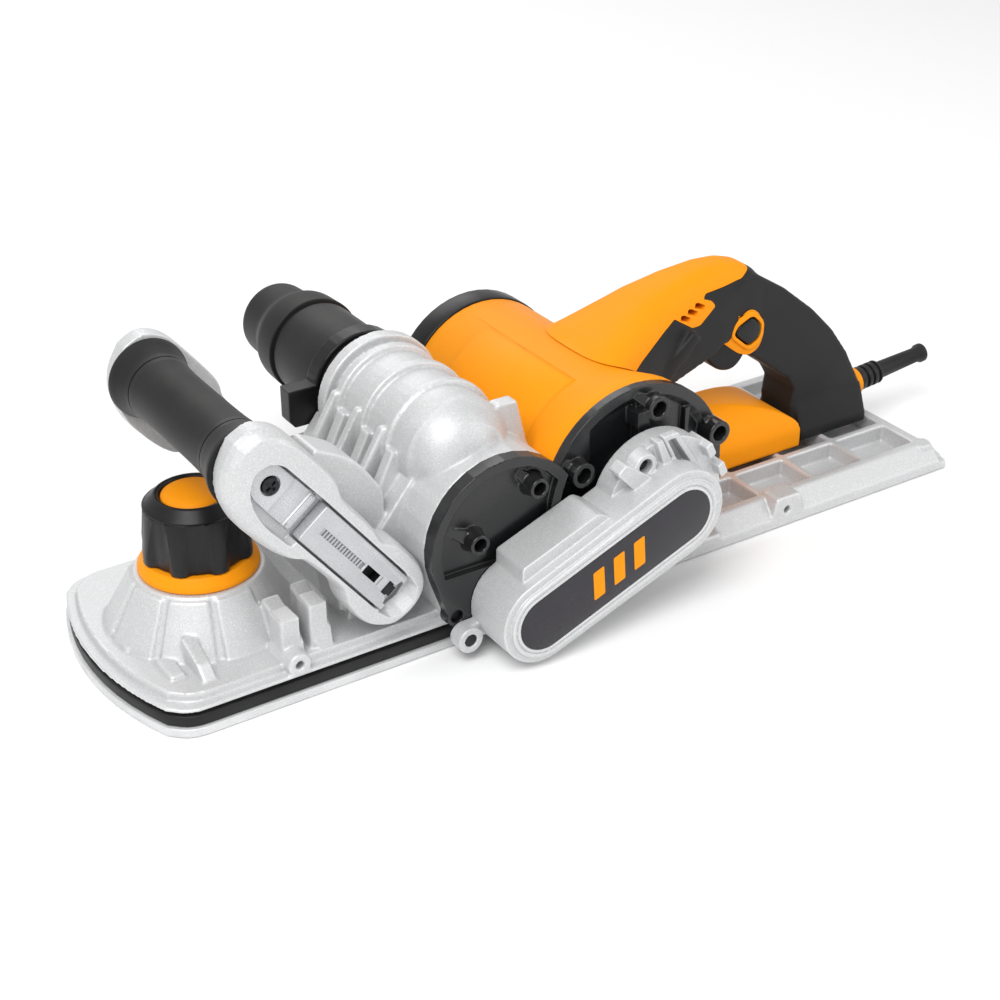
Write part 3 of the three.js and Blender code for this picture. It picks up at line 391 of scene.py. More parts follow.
# ---------------------------------------------------------------- shader work
class Graph:
    """Wires the nodes of one material or group."""

    def __init__(self, tree: bpy.types.NodeTree) -> None:
        """Keeps the tree."""
        self.tree = tree

    def add(self, kind: str, ins: dict | None = None, **values: object) -> bpy.types.Node:
        """Adds a node.

        Args:
            kind: Node type.
            ins: Input name or index to a value or a socket to link.
            values: Node attributes.

        Returns:
            The node.
        """
        node = self.tree.nodes.new(kind)
        for key, value in values.items():
            setattr(node, key, value)
        for key, value in (ins or {}).items():
            if isinstance(value, Socket):
                self.tree.links.new(value, node.inputs[key])
            else:
                node.inputs[key].default_value = value
        return node

    def ramp(self, source: Socket, low: object, high: object, a: float = 0.0, b: float = 1.0) -> Socket:
        """Maps a value from low..high to a..b."""
        return self.add("ShaderNodeMapRange", {0: source, 1: low, 2: high, 3: a, 4: b}).outputs[0]

    def math(self, operation: str, a: object, b: object = 0.0) -> Socket:
        """One sum on two values."""
        return self.add("ShaderNodeMath", {0: a, 1: b}, operation=operation).outputs[0]

    def mix(self, share: object, a: object, b: object) -> Socket:
        """Mixes two colours."""
        return self.add("ShaderNodeMix", {0: share, 6: a, 7: b}, data_type="RGBA").outputs[2]

    def layer(self, base: Socket, mask: Socket, share: float, colour: Corner) -> Socket:
        """Lays a share of a colour over a base where the mask is bright."""
        return self.mix(self.math("MULTIPLY", mask, share), base, colour)

    def feed(self, shader: bpy.types.Node, base: Socket, rough: Socket, normal: Socket) -> None:
        """Links colour, roughness and normal to a shader."""
        for name, socket in (("Base Color", base), ("Roughness", rough), ("Normal", normal)):
            self.tree.links.new(socket, shader.inputs[name])

    def bump(self, height: Socket, distance: float, strength: float, normal: Socket | None = None) -> Socket:
        """Turns a height into a normal."""
        ins = {"Height": height, "Distance": distance, "Strength": strength}
        if normal is not None:
            ins["Normal"] = normal
        return self.add("ShaderNodeBump", ins).outputs[0]


class Effects:
    """Node groups shared by the finishes."""

    @staticmethod
    def group(name: str, inputs: dict[str, float], outputs: Sequence[str]) -> tuple[bpy.types.NodeTree, Graph,
            dict, bpy.types.Node]:
        """Starts a group with float inputs and outputs."""
        tree = bpy.data.node_groups.new(name, "ShaderNodeTree")
        for key, value in inputs.items():
            tree.interface.new_socket(name=key, in_out="INPUT",
                socket_type="NodeSocketFloat").default_value = value
        for key in outputs:
            tree.interface.new_socket(name=key, in_out="OUTPUT", socket_type="NodeSocketFloat")
        graph = Graph(tree)
        ins = tree.nodes.new("NodeGroupInput")
        outs = tree.nodes.new("NodeGroupOutput")
        return tree, graph, {key: ins.outputs[key] for key in inputs}, outs

    def __init__(self) -> None:
        """Builds grain, flakes, wear with its painted edge highlight and painted corner shade, and dust once.
        """
        self.grain = self.make_grain()
        self.flakes = self.make_flakes()
        self.wear_and_painted_light = self.make_wear_and_painted_light()
        self.dust = self.make_dust()

    def make_grain(self) -> bpy.types.NodeTree:
        """Even fine texture with a slow drift under it."""
        tree, g, ins, outs = self.group("Grain", {"Scale": 900.0, "Drift": 12.0}, ("Fine", "Slow"))
        where = g.add("ShaderNodeTexCoord").outputs["Object"]
        fine = g.add("ShaderNodeTexNoise", {"Vector": where, "Scale": ins["Scale"], "Detail": 3.0,
            "Roughness": 0.6})
        slow = g.add("ShaderNodeTexNoise", {"Vector": where, "Scale": ins["Drift"], "Detail": 4.0,
            "Roughness": 0.55})
        tree.links.new(g.ramp(fine.outputs[0], 0.3, 0.7), outs.inputs["Fine"])
        tree.links.new(g.ramp(slow.outputs[0], 0.3, 0.7), outs.inputs["Slow"])
        return tree

    def make_flakes(self) -> bpy.types.NodeTree:
        """Small facets of random brightness, as on blasted metal."""
        tree, g, ins, outs = self.group("Flakes", {"Scale": 1600.0, "Share": 0.8}, ("Flake", "Height"))
        where = g.add("ShaderNodeTexCoord").outputs["Object"]
        cells = g.add("ShaderNodeTexVoronoi", {"Vector": where, "Scale": ins["Scale"], "Randomness": 1.0})
        value = g.add("ShaderNodeSeparateColor", {0: cells.outputs["Color"]}).outputs[0]
        tree.links.new(g.ramp(value, ins["Share"], 1.0), outs.inputs["Flake"])
        tree.links.new(cells.outputs["Distance"], outs.inputs["Height"])
        return tree

    def make_wear_and_painted_light(self) -> bpy.types.NodeTree:
        """Rubbed edges that also carry a painted edge highlight, and painted shade in corners and hollows."""
        tree, g, ins, outs = self.group("WearAndPaintedLight", {"Width": 0.03, "Patches": 60.0}, ("Edge", "Corner"))
        point = g.add("ShaderNodeNewGeometry").outputs["Pointiness"]
        where = g.add("ShaderNodeTexCoord").outputs["Object"]
        patch = g.add("ShaderNodeTexNoise", {"Vector": where, "Scale": ins["Patches"],
            "Detail": 5.0}).outputs[0]
        high = g.math("ADD", 0.5, ins["Width"])
        low = g.math("SUBTRACT", 0.5, ins["Width"])
        # Edge mask (convex): rubbed wear plus a painted highlight; Corner mask (concave): painted shade.
        edge = g.ramp(point, 0.505, high)
        corner = g.ramp(point, 0.495, low)
        tree.links.new(g.math("MULTIPLY", edge, g.ramp(patch, 0.35, 0.6, 0.35, 1.0)), outs.inputs["Edge"])
        tree.links.new(g.math("MULTIPLY", corner, g.ramp(patch, 0.3, 0.6, 0.4, 1.0)), outs.inputs["Corner"])
        return tree

    def make_dust(self) -> bpy.types.NodeTree:
        """Thin dust that lies on faces that look up."""
        tree, g, ins, outs = self.group("Dust", {"Amount": 0.2}, ("Mask",))
        normal = g.add("ShaderNodeNewGeometry").outputs["Normal"]
        where = g.add("ShaderNodeTexCoord").outputs["Object"]
        up = g.ramp(g.add("ShaderNodeSeparateXYZ", {0: normal}).outputs[2], 0.2, 1.0)
        cloud = g.add("ShaderNodeTexNoise", {"Vector": where, "Scale": 35.0, "Detail": 6.0,
            "Roughness": 0.65}).outputs[0]
        mask = g.math("MULTIPLY", g.math("MULTIPLY", up, g.ramp(cloud, 0.35, 0.75)), ins["Amount"])
        tree.links.new(mask, outs.inputs["Mask"])
        return tree


EFFECTS = Effects()


@dataclass(frozen=True)
class Finish:
    """A surface finish; subclasses say how its nodes are wired."""

    slot: str
    name: str
    color: tuple[float, float, float]
    roughness: float = 0.5
    metallic: float = 0.0

    def material(self) -> bpy.types.Material:
        """The finish's material, made on first use."""
        made = bpy.data.materials.get(self.name)
        if made is None:
            made = bpy.data.materials.new(self.name)
            made.use_nodes = True
            graph = Graph(made.node_tree)
            shader = made.node_tree.nodes["Principled BSDF"]
            shader.inputs["Metallic"].default_value = self.metallic
            made.diffuse_color = (*self.color, 1)
            self.wire(graph, shader)
        return made

    def tone(self, factor: float) -> tuple[float, float, float, float]:
        """The colour, lighter or darker."""
        return (*(min(1.0, c * factor) for c in self.color), 1.0)

    def use(self, graph: Graph, tree: bpy.types.NodeTree, **values: float) -> bpy.types.Node:
        """Places a shared effect with its own values."""
        return graph.add("ShaderNodeGroup", dict(values), node_tree=tree)

    def wire(self, graph: Graph, shader: bpy.types.Node) -> None:
        """Wires the finish; each kind has its own."""
        raise NotImplementedError


@dataclass(frozen=True)
class CastFinish(Finish):
    """Shot-blasted cast aluminium with bright flakes, rubbed edges with a painted highlight, and painted
    shade in its recesses.
    """

    flake: float = 1500.0
    relief: float = 0.00012

    def wire(self, graph: Graph, shader: bpy.types.Node) -> None:
        """Grain and flakes in colour, gloss and relief."""
        grain = self.use(graph, EFFECTS.grain, Scale=1100.0, Drift=9.0)
        flakes = self.use(graph, EFFECTS.flakes, Scale=self.flake, Share=0.78)
        wear_and_painted_light = self.use(graph, EFFECTS.wear_and_painted_light, Width=0.05, Patches=45.0)
        base = graph.mix(grain.outputs["Fine"], self.tone(0.86), self.tone(1.08))
        base = graph.layer(base, grain.outputs["Slow"], 0.25, self.tone(0.9))
        base = graph.layer(base, flakes.outputs["Flake"], 0.6, self.tone(1.25))
        # Lighter edges are rubbed wear plus a painted highlight; darker corners are painted shade in the
        # recesses.
        base = graph.layer(base, wear_and_painted_light.outputs["Edge"], 0.6, self.tone(1.25))
        base = graph.layer(base, wear_and_painted_light.outputs["Corner"], 0.5, self.tone(0.6))
        rough = graph.ramp(grain.outputs["Fine"], 0, 1, self.roughness - 0.06, self.roughness + 0.08)
        rough = graph.math("SUBTRACT", rough, graph.math("MULTIPLY", wear_and_painted_light.outputs["Edge"], 0.12))
        normal = graph.bump(flakes.outputs["Height"], self.relief, 0.5)
        normal = graph.bump(grain.outputs["Fine"], self.relief * 0.7, 0.5, normal)
        graph.feed(shader, base, rough, normal)


@dataclass(frozen=True)
class SteelFinish(Finish):
    """Turned or ground steel with fine tool marks round an axis or along the blade."""

    marks: float = 2600.0

    def wire(self, graph: Graph, shader: bpy.types.Node) -> None:
        """Tool marks in gloss and relief."""
        grain = self.use(graph, EFFECTS.grain, Scale=500.0, Drift=25.0)
        wear_and_painted_light = self.use(graph, EFFECTS.wear_and_painted_light, Width=0.04, Patches=80.0)
        where = graph.add("ShaderNodeTexCoord").outputs["Object"]
        stretched = graph.add("ShaderNodeMapping", {"Vector": where, "Scale": (0.06, 1.0, 0.06)}).outputs[0]
        marks = graph.add("ShaderNodeTexNoise", {"Vector": stretched, "Scale": self.marks,
            "Detail": 2.0}).outputs[0]
        base = graph.mix(marks, self.tone(0.85), self.tone(1.1))
        base = graph.layer(base, grain.outputs["Slow"], 0.3, self.tone(0.75))
        # Lighter edges: rubbed wear plus a painted highlight.
        base = graph.layer(base, wear_and_painted_light.outputs["Edge"], 0.5, self.tone(1.3))
        rough = graph.ramp(marks, 0.3, 0.7, self.roughness - 0.06, self.roughness + 0.1)
        graph.feed(shader, base, rough, graph.bump(marks, 0.00005, 0.4))


@dataclass(frozen=True)
class PlasticFinish(Finish):
    """Moulded plastic with a spark-eroded texture, rubbed edges with a painted highlight, painted shade in
    its hollows and a little dust.
    """

    texture: float = 1300.0
    relief: float = 0.00008
    # Colour factor on edges: rubbed wear plus a painted highlight.
    edge: float = 1.35
    dust: float = 0.12
    sheen: float = 0.0
    shine: float = 0.3

    def wire(self, graph: Graph, shader: bpy.types.Node) -> None:
        """Texture, edge shine as rubbed wear plus a painted highlight, painted shade in hollows, and dust."""
        shader.inputs["Sheen Weight"].default_value = self.sheen
        shader.inputs["Sheen Roughness"].default_value = 0.4
        shader.inputs["Specular IOR Level"].default_value = self.shine
        grain = self.use(graph, EFFECTS.grain, Scale=self.texture, Drift=14.0)
        wear_and_painted_light = self.use(graph, EFFECTS.wear_and_painted_light, Width=0.05, Patches=55.0)
        dust = self.use(graph, EFFECTS.dust, Amount=self.dust)
        base = graph.mix(grain.outputs["Fine"], self.tone(0.93), self.tone(1.05))
        base = graph.layer(base, grain.outputs["Slow"], 0.35, self.tone(0.9))
        # Edges lighter by the edge factor (rubbed wear plus painted highlight); corners darker (painted
        # shade).
        base = graph.layer(base, wear_and_painted_light.outputs["Edge"], 0.45, self.tone(self.edge))
        base = graph.layer(base, wear_and_painted_light.outputs["Corner"], 0.5, self.tone(0.55))
        base = graph.mix(dust.outputs["Mask"], base, (0.42, 0.38, 0.33, 1))
        rough = graph.ramp(grain.outputs["Slow"], 0, 1, self.roughness - 0.05, self.roughness + 0.06)
        rough = graph.math("SUBTRACT", rough, graph.math("MULTIPLY", wear_and_painted_light.outputs["Edge"], 0.1))
        rough = graph.math("ADD", rough, dust.outputs["Mask"])
        graph.feed(shader, base, rough, graph.bump(grain.outputs["Fine"], self.relief, 0.45))


@dataclass(frozen=True)
class LaminatedFinish(Finish):
    """Stacked iron sheets or wound wire, in fine bands along Y."""

    bands: float = 900.0

    def wire(self, graph: Graph, shader: bpy.types.Node) -> None:
        """Bands in colour, gloss and relief."""
        grain = self.use(graph, EFFECTS.grain, Scale=700.0, Drift=30.0)
        where = graph.add("ShaderNodeTexCoord").outputs["Object"]
        wave = graph.add("ShaderNodeTexWave", {"Vector": where, "Scale": self.bands / 6.3, "Distortion": 0.4,
            "Detail": 1.0}, bands_direction="Y").outputs["Fac"]
        base = graph.mix(wave, self.tone(0.55), self.tone(1.1))
        base = graph.layer(base, grain.outputs["Slow"], 0.4, self.tone(0.7))
        rough = graph.ramp(wave, 0, 1, self.roughness + 0.1, self.roughness - 0.08)
        graph.feed(shader, base, rough, graph.bump(wave, 0.0002, 0.6))


CAST = CastFinish("cast_aluminium", "cast aluminium", (0.64, 0.645, 0.65), 0.5, 0.4)
MACHINED = CastFinish("cast_aluminium", "machined casting", (0.52, 0.525, 0.54), 0.36, 0.45, 2600.0, 0.00003)
STEEL = SteelFinish("machined_steel", "turned steel", (0.6, 0.61, 0.62), 0.28, 1.0)
DRUM = SteelFinish("turned_aluminium", "turned aluminium", (0.72, 0.73, 0.75), 0.3, 1.0)
BLADE = SteelFinish("blade_steel", "ground blade steel", (0.7, 0.72, 0.75), 0.2, 1.0, 3600.0)
ORANGE = PlasticFinish("orange_plastic", "orange satin plastic", (0.94, 0.315, 0.004), 0.5, 0.0, 1500.0,
    0.00005, 1.05, 0.02, 0.0, 0.12)
BLACK = PlasticFinish("black_plastic", "black moulded plastic", (0.0075, 0.0075, 0.0085), 0.36, 0.0, 1400.0,
    0.00007, 2.4, 0.02)
GLOSS = PlasticFinish("black_plastic", "glossy black plastic", (0.009, 0.0095, 0.0105), 0.24, 0.0, 1400.0,
    0.00005, 2.2, 0.02, 0.0, 0.6)
RUBBER = PlasticFinish("soft_rubber", "soft black rubber", (0.0095, 0.0095, 0.0098), 0.55, 0.0, 1100.0,
    0.0001, 1.8, 0.03, 0.06)
BADGE = PlasticFinish("dark_label", "dark badge", (0.032, 0.03, 0.035), 0.33, 0.0, 2200.0, 0.00002, 1.5, 0.01)
BLACKED = SteelFinish("black_steel", "blackened steel", (0.035, 0.035, 0.038), 0.38, 0.9)
COPPER = LaminatedFinish("copper_parts", "copper bars", (0.72, 0.36, 0.2), 0.32, 1.0, 500.0)
IRON = LaminatedFinish("laminated_iron", "laminated iron", (0.3, 0.27, 0.25), 0.5, 0.8)
CARBON = PlasticFinish("carbon", "carbon block", (0.03, 0.03, 0.034), 0.6, 0.0, 2000.0, 0.0001, 1.6, 0.0)


# ---------------------------------------------------------------- sub-assemblies
@dataclass
class Soles:
    """The movable front shoe with its edge strip, and the ribbed rear sole."""

    edge: float = 0.8
    strip_edge: float = 0.9

    def build(self, bench: Bench) -> None:
        """Makes and mounts the three sole pieces."""
        bench.worked("front_shoe", "shoe", "front_sole", CAST, self.edge)
        bench.worked("shoe_strip", "edge_strip", "front_sole", RUBBER, self.strip_edge, sharp=50)
        self.rear(bench)

    def rear(self, bench: Bench) -> None:
        """The rear sole: its fence boss and rounded edges."""
        sole = bench.refit("rear_sole")
        boss = bench.slab([(236, 6), (240, 24, 3), (262, 24, 3), (266, 6)], -92.6, -76)
        hole = bench.rod(Axis.Y, (250, 13), -94, -81, 3, sides=32)
        bench.work(sole, Cut.ADD, boss)
        bench.work(sole, Cut.TAKE, hole)
        bench.mould(sole, 1.2, 2, 0.5)
        bench.settle(sole, "sole_rear", "planer_body", CAST, 60, ["rear_sole"])


@dataclass
class FrontCasting:
    """Deck, knob boss, drum housing and chip chute in one casting."""

    voxel: float = 1.15
    knob: Point = KNOB_AXIS
    motor: Point = MOTOR_AXIS

    def facet(self, bench: Bench, start: float, end: float, proud: float) -> Obj:
        """A raised panel on the knob boss between two angles, in degrees."""
        cone = bench.rod(Axis.Z, self.knob, 19, 59, 64 + proud, 41.5 + proud, 72)
        turns = [math.radians(start + (end - start) * i / 4) for i in range(5)]
        fan = [self.knob] + [(self.knob[0] + 90 * math.cos(t),
            self.knob[1] + 90 * math.sin(t)) for t in turns]
        return bench.work(cone, Cut.KEEP, bench.plate(fan, 0, 100))

    def build(self, bench: Bench) -> None:
        """Adds cast detail to the frame's shape, softens it and mounts it."""
        body = bench.refit("front_body")
        for start, end in ((-178, -146), (-140, -108), (-102, -70), (144, 176)):
            bench.work(body, Cut.ADD, self.facet(bench, start, end, 3.6))
        collar = bench.rod(Axis.Z, self.knob, 55, 60.8, 43.4, 41.2, 96)
        dome = bench.turned([(0, -84), (14, -82, 6), (26, -75, 8), (33, -63, 8), (36.5, -48, 6), (36.5, -38),
            (0, -38)], Axis.Y, (-12, 124), 72)
        tab = bench.slab([(16, 130), (20, 147, 2), (35, 146.5, 2), (43, 114, 2), (52, 96), (30, 96)], -60,
            -50)
        blocks = [bench.slab([(x, 26), (x, top, 1), (x + 13, top, 1), (x + 13, 26)], -79, -62) for x,
            top in ((-153, 52), (-133, 57))]
        ribs = [bench.slab([(-92, 58), (-74, 100, 4), (-50, 140, 3), (-42, 136), (-58, 96), (-70, 58)], y,
            y + 6) for y in (-34, -2, 28)]
        bench.work(body, Cut.ADD, collar, dome, tab, *blocks, *ribs)
        for tool in (bench.rod(Axis.Z, self.knob, 30, 80, 7.5, sides=40),
                bench.rod(Axis.Y, self.motor, -130, 130, 64.2, sides=96)):
            bench.work(body, Cut.TAKE, tool)
        bench.mould(body, self.voxel, 2, 0.45)
        bench.settle(body, "casting_front", "planer_body", CAST, 60, ["front_body"])


@dataclass
class DepthControl:
    """Orange ring, lobed knob with its cap, and the spindle."""

    at: Point = KNOB_AXIS
    radius: float = 34.0
    lobes: int = 8
    base: float = 71.4
    top: float = 114.0

    def build(self, bench: Bench) -> None:
        """Makes and mounts the control."""
        ring = bench.turned([(7, 61.4), (39.3, 61.4, 0.8), (39.3, 64.5, 1), (35.5, 70.8, 1), (7, 70.8)],
            Axis.Z, self.at, 96)
        bench.settle(ring, "ring_orange", "planer_body", ORANGE, 40, ["depth_ring"])
        bench.settle(self.knob(bench), "knob_black", "depth_control", BLACK, 40, ["depth_knob"])
        cap = bench.turned([(0, 110.4), (20.4, 110.4), (20.4, 112.6, 1), (17, 115, 3), (8, 116.4, 4),
            (0, 116.6)], Axis.Z, self.at, 72)
        bench.settle(cap, "cap_orange", "depth_control", ORANGE, 40, ["knob_cap"])
        bench.worked("depth_spindle", "spindle", "depth_control", STEEL, 0.4)

    def knob(self, bench: Bench) -> Obj:
        """The knob: scooped flats between broad lobes and a rim round the cap."""
        outline = []
        for i in range(self.lobes * 12):
            angle = 2 * math.pi * i / (self.lobes * 12)
            wave = math.cos(angle * self.lobes)
            reach = self.radius + 0.4 + 2.1 * math.tanh(2.6 * (wave - 0.25)) / math.tanh(2.6)
            outline.append((self.at[0] + reach * math.cos(angle), self.at[1] + reach * math.sin(angle)))
        body = bench.plate(outline, self.base, self.top - 7)
        crown = bench.rod(Axis.Z, self.at, self.top - 7.01, self.top, 31.5, 24.5, 96)
        bench.work(body, Cut.ADD, crown)
        shell = bench.rod(Axis.Z, self.at, self.base - 1, self.top + 1, 37.2, 31.4, 96)
        bench.work(body, Cut.KEEP, shell)
        well = bench.rod(Axis.Z, self.at, self.top - 3.4, self.top + 1, 20.8, 22.4, 72)
        bore = bench.rod(Axis.Z, self.at, 60, 104.5, 5.3, sides=40)
        bench.work(body, Cut.TAKE, well, bore)
        return bench.bevel(bench.tidy(body), 0.9, 3, 38)


@dataclass
class FrontHandle:
    """Two cast arms, soft grip, recessed end plate and the lock lever."""

    grip: Point = (-163.0, 161.5)
    pivot: Point = PIVOT_AXIS
    inner: float = 73.0
    outer: float = 94.0
    teeth: int = 15
    tooth_step: float = 2.8
    length: float = field(init=False)
    way: Point = field(init=False)

    def __post_init__(self) -> None:
        """Works out the arm's length and direction."""
        dx, dz = self.pivot[0] - self.grip[0], self.pivot[1] - self.grip[1]
        self.length = math.hypot(dx, dz)
        self.way = (dx / self.length, dz / self.length)

    def on(self, u: float, v: float, *more: float) -> tuple[float, ...]:
        """Side-view point at u along the arm and v across it, towards the rear."""
        x, z = self.way
        return (self.grip[0] + x * u - z * v, self.grip[1] + z * u + x * v, *more)

    def oblong(self, u0: float, u1: float, half: float, more: float = 0.0) -> list[tuple[float, ...]]:
        """A box on the arm seen from the side, its corners rounded by more."""
        return [self.on(u0, -half, more), self.on(u0, half, more), self.on(u1, half, more),
            self.on(u1, -half, more)]

    def outline(self, spread: float) -> list[Point]:
        """The arm seen from the side.

        Args:
            spread: 0 for the edge of its flat face, 1 for its full size.
        """
        pairs = [((-11, 4), (-28, 4)), ((-10, 15), (-25.4, 16.4)), ((-6, 21), (-18, 24)),
            ((1, 25), (-7, 28.5)), ((12, 27), (10, 29.6)), ((34, 27), (35, 29.4)), ((43, 25), (45, 27.6)),
            ((50, 22), (51, 24.5)), ((58, 20.5), (59, 23)), ((86, 20), (86, 22.5)), ((98, 18), (98, 20.6)),
            ((105, 20.5), (104, 23)), ((112, 23.5), (111, 25.6)), ((126, 24), (126, 26)),
            ((136, 23), (137, 25)), ((145, 19), (147, 20.5)), ((151, 12), (153.5, 13)),
            ((153.5, 1), (156.5, 1)), ((151, -12), (153.5, -13)), ((144, -19), (146, -21)),
            ((135, -23.5), (136, -25.6)), ((124, -24.5), (124, -26.5)), ((113, -23), (112, -25)),
            ((106, -19.5), (105, -22)), ((99, -17), (99, -20)), ((80, -17), (80, -20)),
            ((63, -18.5), (62, -21.5)), ((54, -23), (53, -26.4)), ((42, -25), (41, -29.5)),
            ((28, -25.4), (25, -30.6)), ((14, -23.6), (9, -30)), ((3, -17.5), (-9, -23.5)),
            ((-6, -8), (-21, -12))]
        points = [(a + (c - a) * spread, b + (d - b) * spread) for (a, b), (c, d) in pairs]
        smooth = spline([*points, points[0]], 4)[:-1]
        return [self.on(u, v) for u, v in smooth]

    def arm(self, bench: Bench, side: int) -> Obj:
        """One arm's body, its outer edge rolled over; side is -1 near or 1 far."""
        steps = [(self.inner, 1.0), (self.outer - 11, 1.0), (self.outer - 6.5, 0.88), (self.outer - 3, 0.62),
            (self.outer - 0.9, 0.3), (self.outer, 0.0)]
        body = bench.stack([[(x, y * side, z) for x, z in self.outline(spread)] for y, spread in steps])
        hole = bench.rod(Axis.Y, self.pivot, *sorted(((self.inner - 1) * side, (self.outer + 1) * side)), 6.3,
            sides=40)
        return bench.work(body, Cut.TAKE, hole)

    def near_arm(self, bench: Bench) -> Obj:
        """The near arm with its head well, lever channel and finger scoop."""
        body = self.arm(bench, -1)
        face = -self.outer - 1
        head = bench.slab([self.on(-9, -1, 4), self.on(-6, 9, 4), self.on(2, 14, 4), self.on(47, 15),
            self.on(47, -19.5, 3), self.on(20, -20.5, 8), self.on(4, -16, 6), self.on(-5, -9, 4)], face,
            face + 12)
        channel = bench.slab([self.on(40, -14.9), self.on(40, 14.9), self.on(132, 14.9, 3),
            self.on(140, 10, 4), self.on(143, 0, 4), self.on(140, -10, 4), self.on(132, -14.9, 3)], face,
            face + 12)
        wide = [self.on(134, -15.5), self.on(134, 15.5), self.on(147, 13), self.on(152.5, 5),
            self.on(152.5, -5), self.on(147, -13)]
        deep = [self.on(134, -14), self.on(134, 14), self.on(139, 11), self.on(142.5, 4), self.on(142.5, -4),
            self.on(139, -11)]
        scoop = bench.stack([[(x, face, z) for x, z in wide], [(x, face + 9, z) for x, z in deep]])
        return bench.work(body, Cut.TAKE, head, channel, scoop)

    def lever(self, bench: Bench) -> Obj:
        """The lock lever: a flat bar with a ribbed slot, a square hole and a notch."""
        face = -self.outer + 1
        bar = bench.slab(self.oblong(47.5, 136, 13.4, 1.5), face, -83.4)
        bench.bevel(bar, 0.9, 2)
        slot = bench.slab(self.oblong(57, 101, 2.3), face - 1, face + 2.4)
        hole = bench.slab(self.oblong(102.5, 116, 3.1), face - 1, face + 8)
        notch = bench.slab([self.on(125, -4.6), self.on(125, 4.6), self.on(131, 4.6), self.on(133, 9),
            self.on(138, 9), self.on(138, -9), self.on(133, -9), self.on(131, -4.6)], face - 1, face + 7)
        bench.work(bar, Cut.TAKE, slot, hole, notch, bench.slab(self.oblong(118, 119.2, 3.1), face - 1,
            face + 0.7))
        bench.work(bar, Cut.ADD, bench.slab(self.oblong(127, 134, 3.6, 0.5), face + 1.6, face + 8))
        for i in range(self.teeth):
            start = 58 + self.tooth_step * i
            bench.work(bar, Cut.ADD, bench.slab(self.oblong(start, start + 1.3, 2.5), face + 1.2, face + 3))
        return bench.bevel(bench.tidy(bar), 0.25, 2)

    def soft_grip(self, bench: Bench) -> Obj:
        """The grip: even barrel, slightly flared ends and two fine end grooves."""
        end = self.inner - 0.4
        half = spline([(27.4, end), (27, end - 3), (25, end - 9), (23, end - 18), (21.9, end - 32),
            (21.5, end - 50), (21.5, 0)], 5)
        profile = [(4, -end), *[(r, -a) for r, a in half], *reversed(half[:-1]), (4, end)]
        body = bench.turned(profile, Axis.Y, self.grip, 72)
        for a in (-52, 52):
            ring = bench.turned([(21.4, a - 0.5), (26, a - 0.5), (26, a + 0.5), (21.4, a + 0.5)], Axis.Y,
                self.grip, 72)
            bench.work(body, Cut.TAKE, ring)
        return body

    def plate(self, bench: Bench, floor: float) -> Obj:
        """The recessed end plate: flat under its screw, then a ramp and a rounded step."""
        plate = bench.slab([self.on(-8, -2, 3), self.on(-5, 8, 3), self.on(2, 12.4, 3), self.on(19.5, 12.8),
            self.on(19.5, -13), self.on(4, -12.6, 4), self.on(-4, -8, 3)], floor - 5, floor)
        bench.work(plate, Cut.TAKE, bench.rod(Axis.Y, self.on(8.5, 0), floor - 6, floor - 3, 6.6, sides=32))
        ledge = bench.slab([self.on(19.3, -13), self.on(19.3, 12.8), self.on(40, 13.4), self.on(40, -13.4)],
            floor - 3.2, floor)
        step = bench.slab([self.on(35, -13.4, 1), self.on(35, 13.4, 1), self.on(41.5, 13.4, 2),
            self.on(41.5, -13.4, 2)], floor - 4.6, floor)
        bench.work(plate, Cut.ADD, ledge, bench.bevel(step, 1.4, 3))
        return bench.bevel(bench.tidy(plate), 0.4, 2)

    def build(self, bench: Bench) -> None:
        """Makes and mounts the handle."""
        near = bench.mould(self.near_arm(bench), 0.65, 1, 0.5)
        bench.settle(near, "arm_near", "front_handle", CAST, 60, ["handle_arm_near"])
        far = bench.mould(self.arm(bench, 1), 0.9, 3, 0.6)
        bench.settle(far, "arm_far", "front_handle", CAST, 60, ["handle_arm_far"])
        bench.settle(self.soft_grip(bench), "grip_soft", "front_handle", RUBBER, 50, ["front_grip"])
        lever = bench.settle(self.lever(bench), "lever", "handle_lock", MACHINED, instead=["lock_lever"])
        # Faces inside the square hole and the notch, behind the lever's face, get the blackened steel finish
        # as painted shade in these recesses.
        for zone in (self.oblong(102, 116.5, 3.6), self.oblong(124.6, 138, 9.5)):
            bench.tint(lever, BLACKED, zone, -self.outer + 1.6, -80)
        floor = -self.outer + 10.6
        bench.settle(self.plate(bench, floor), "plate_recess", "front_handle", MACHINED,
            instead=["arm_plate"])
        screw = bench.rod(Axis.Y, self.on(8.5, 0), floor - 5.6, floor - 3.1, 5.4, 6, 40)
        for a, b in ((3.8, 0.9), (0.9, 3.8)):
            bench.work(screw, Cut.TAKE, bench.slab(self.oblong(8.5 - a, 8.5 + a, b), floor - 7, floor - 4))
        bench.settle(bench.bevel(bench.tidy(screw), 0.3, 2), "screw_recess", "front_handle", BLACKED,
            instead=["arm_screw"])
        for node, body in (("grip_rod", "front_handle"), ("pivot_bolt_near", "planer_body"),
                ("pivot_bolt_far", "planer_body")):
            bench.worked(node, node + "_turned", body, STEEL, 0.5)


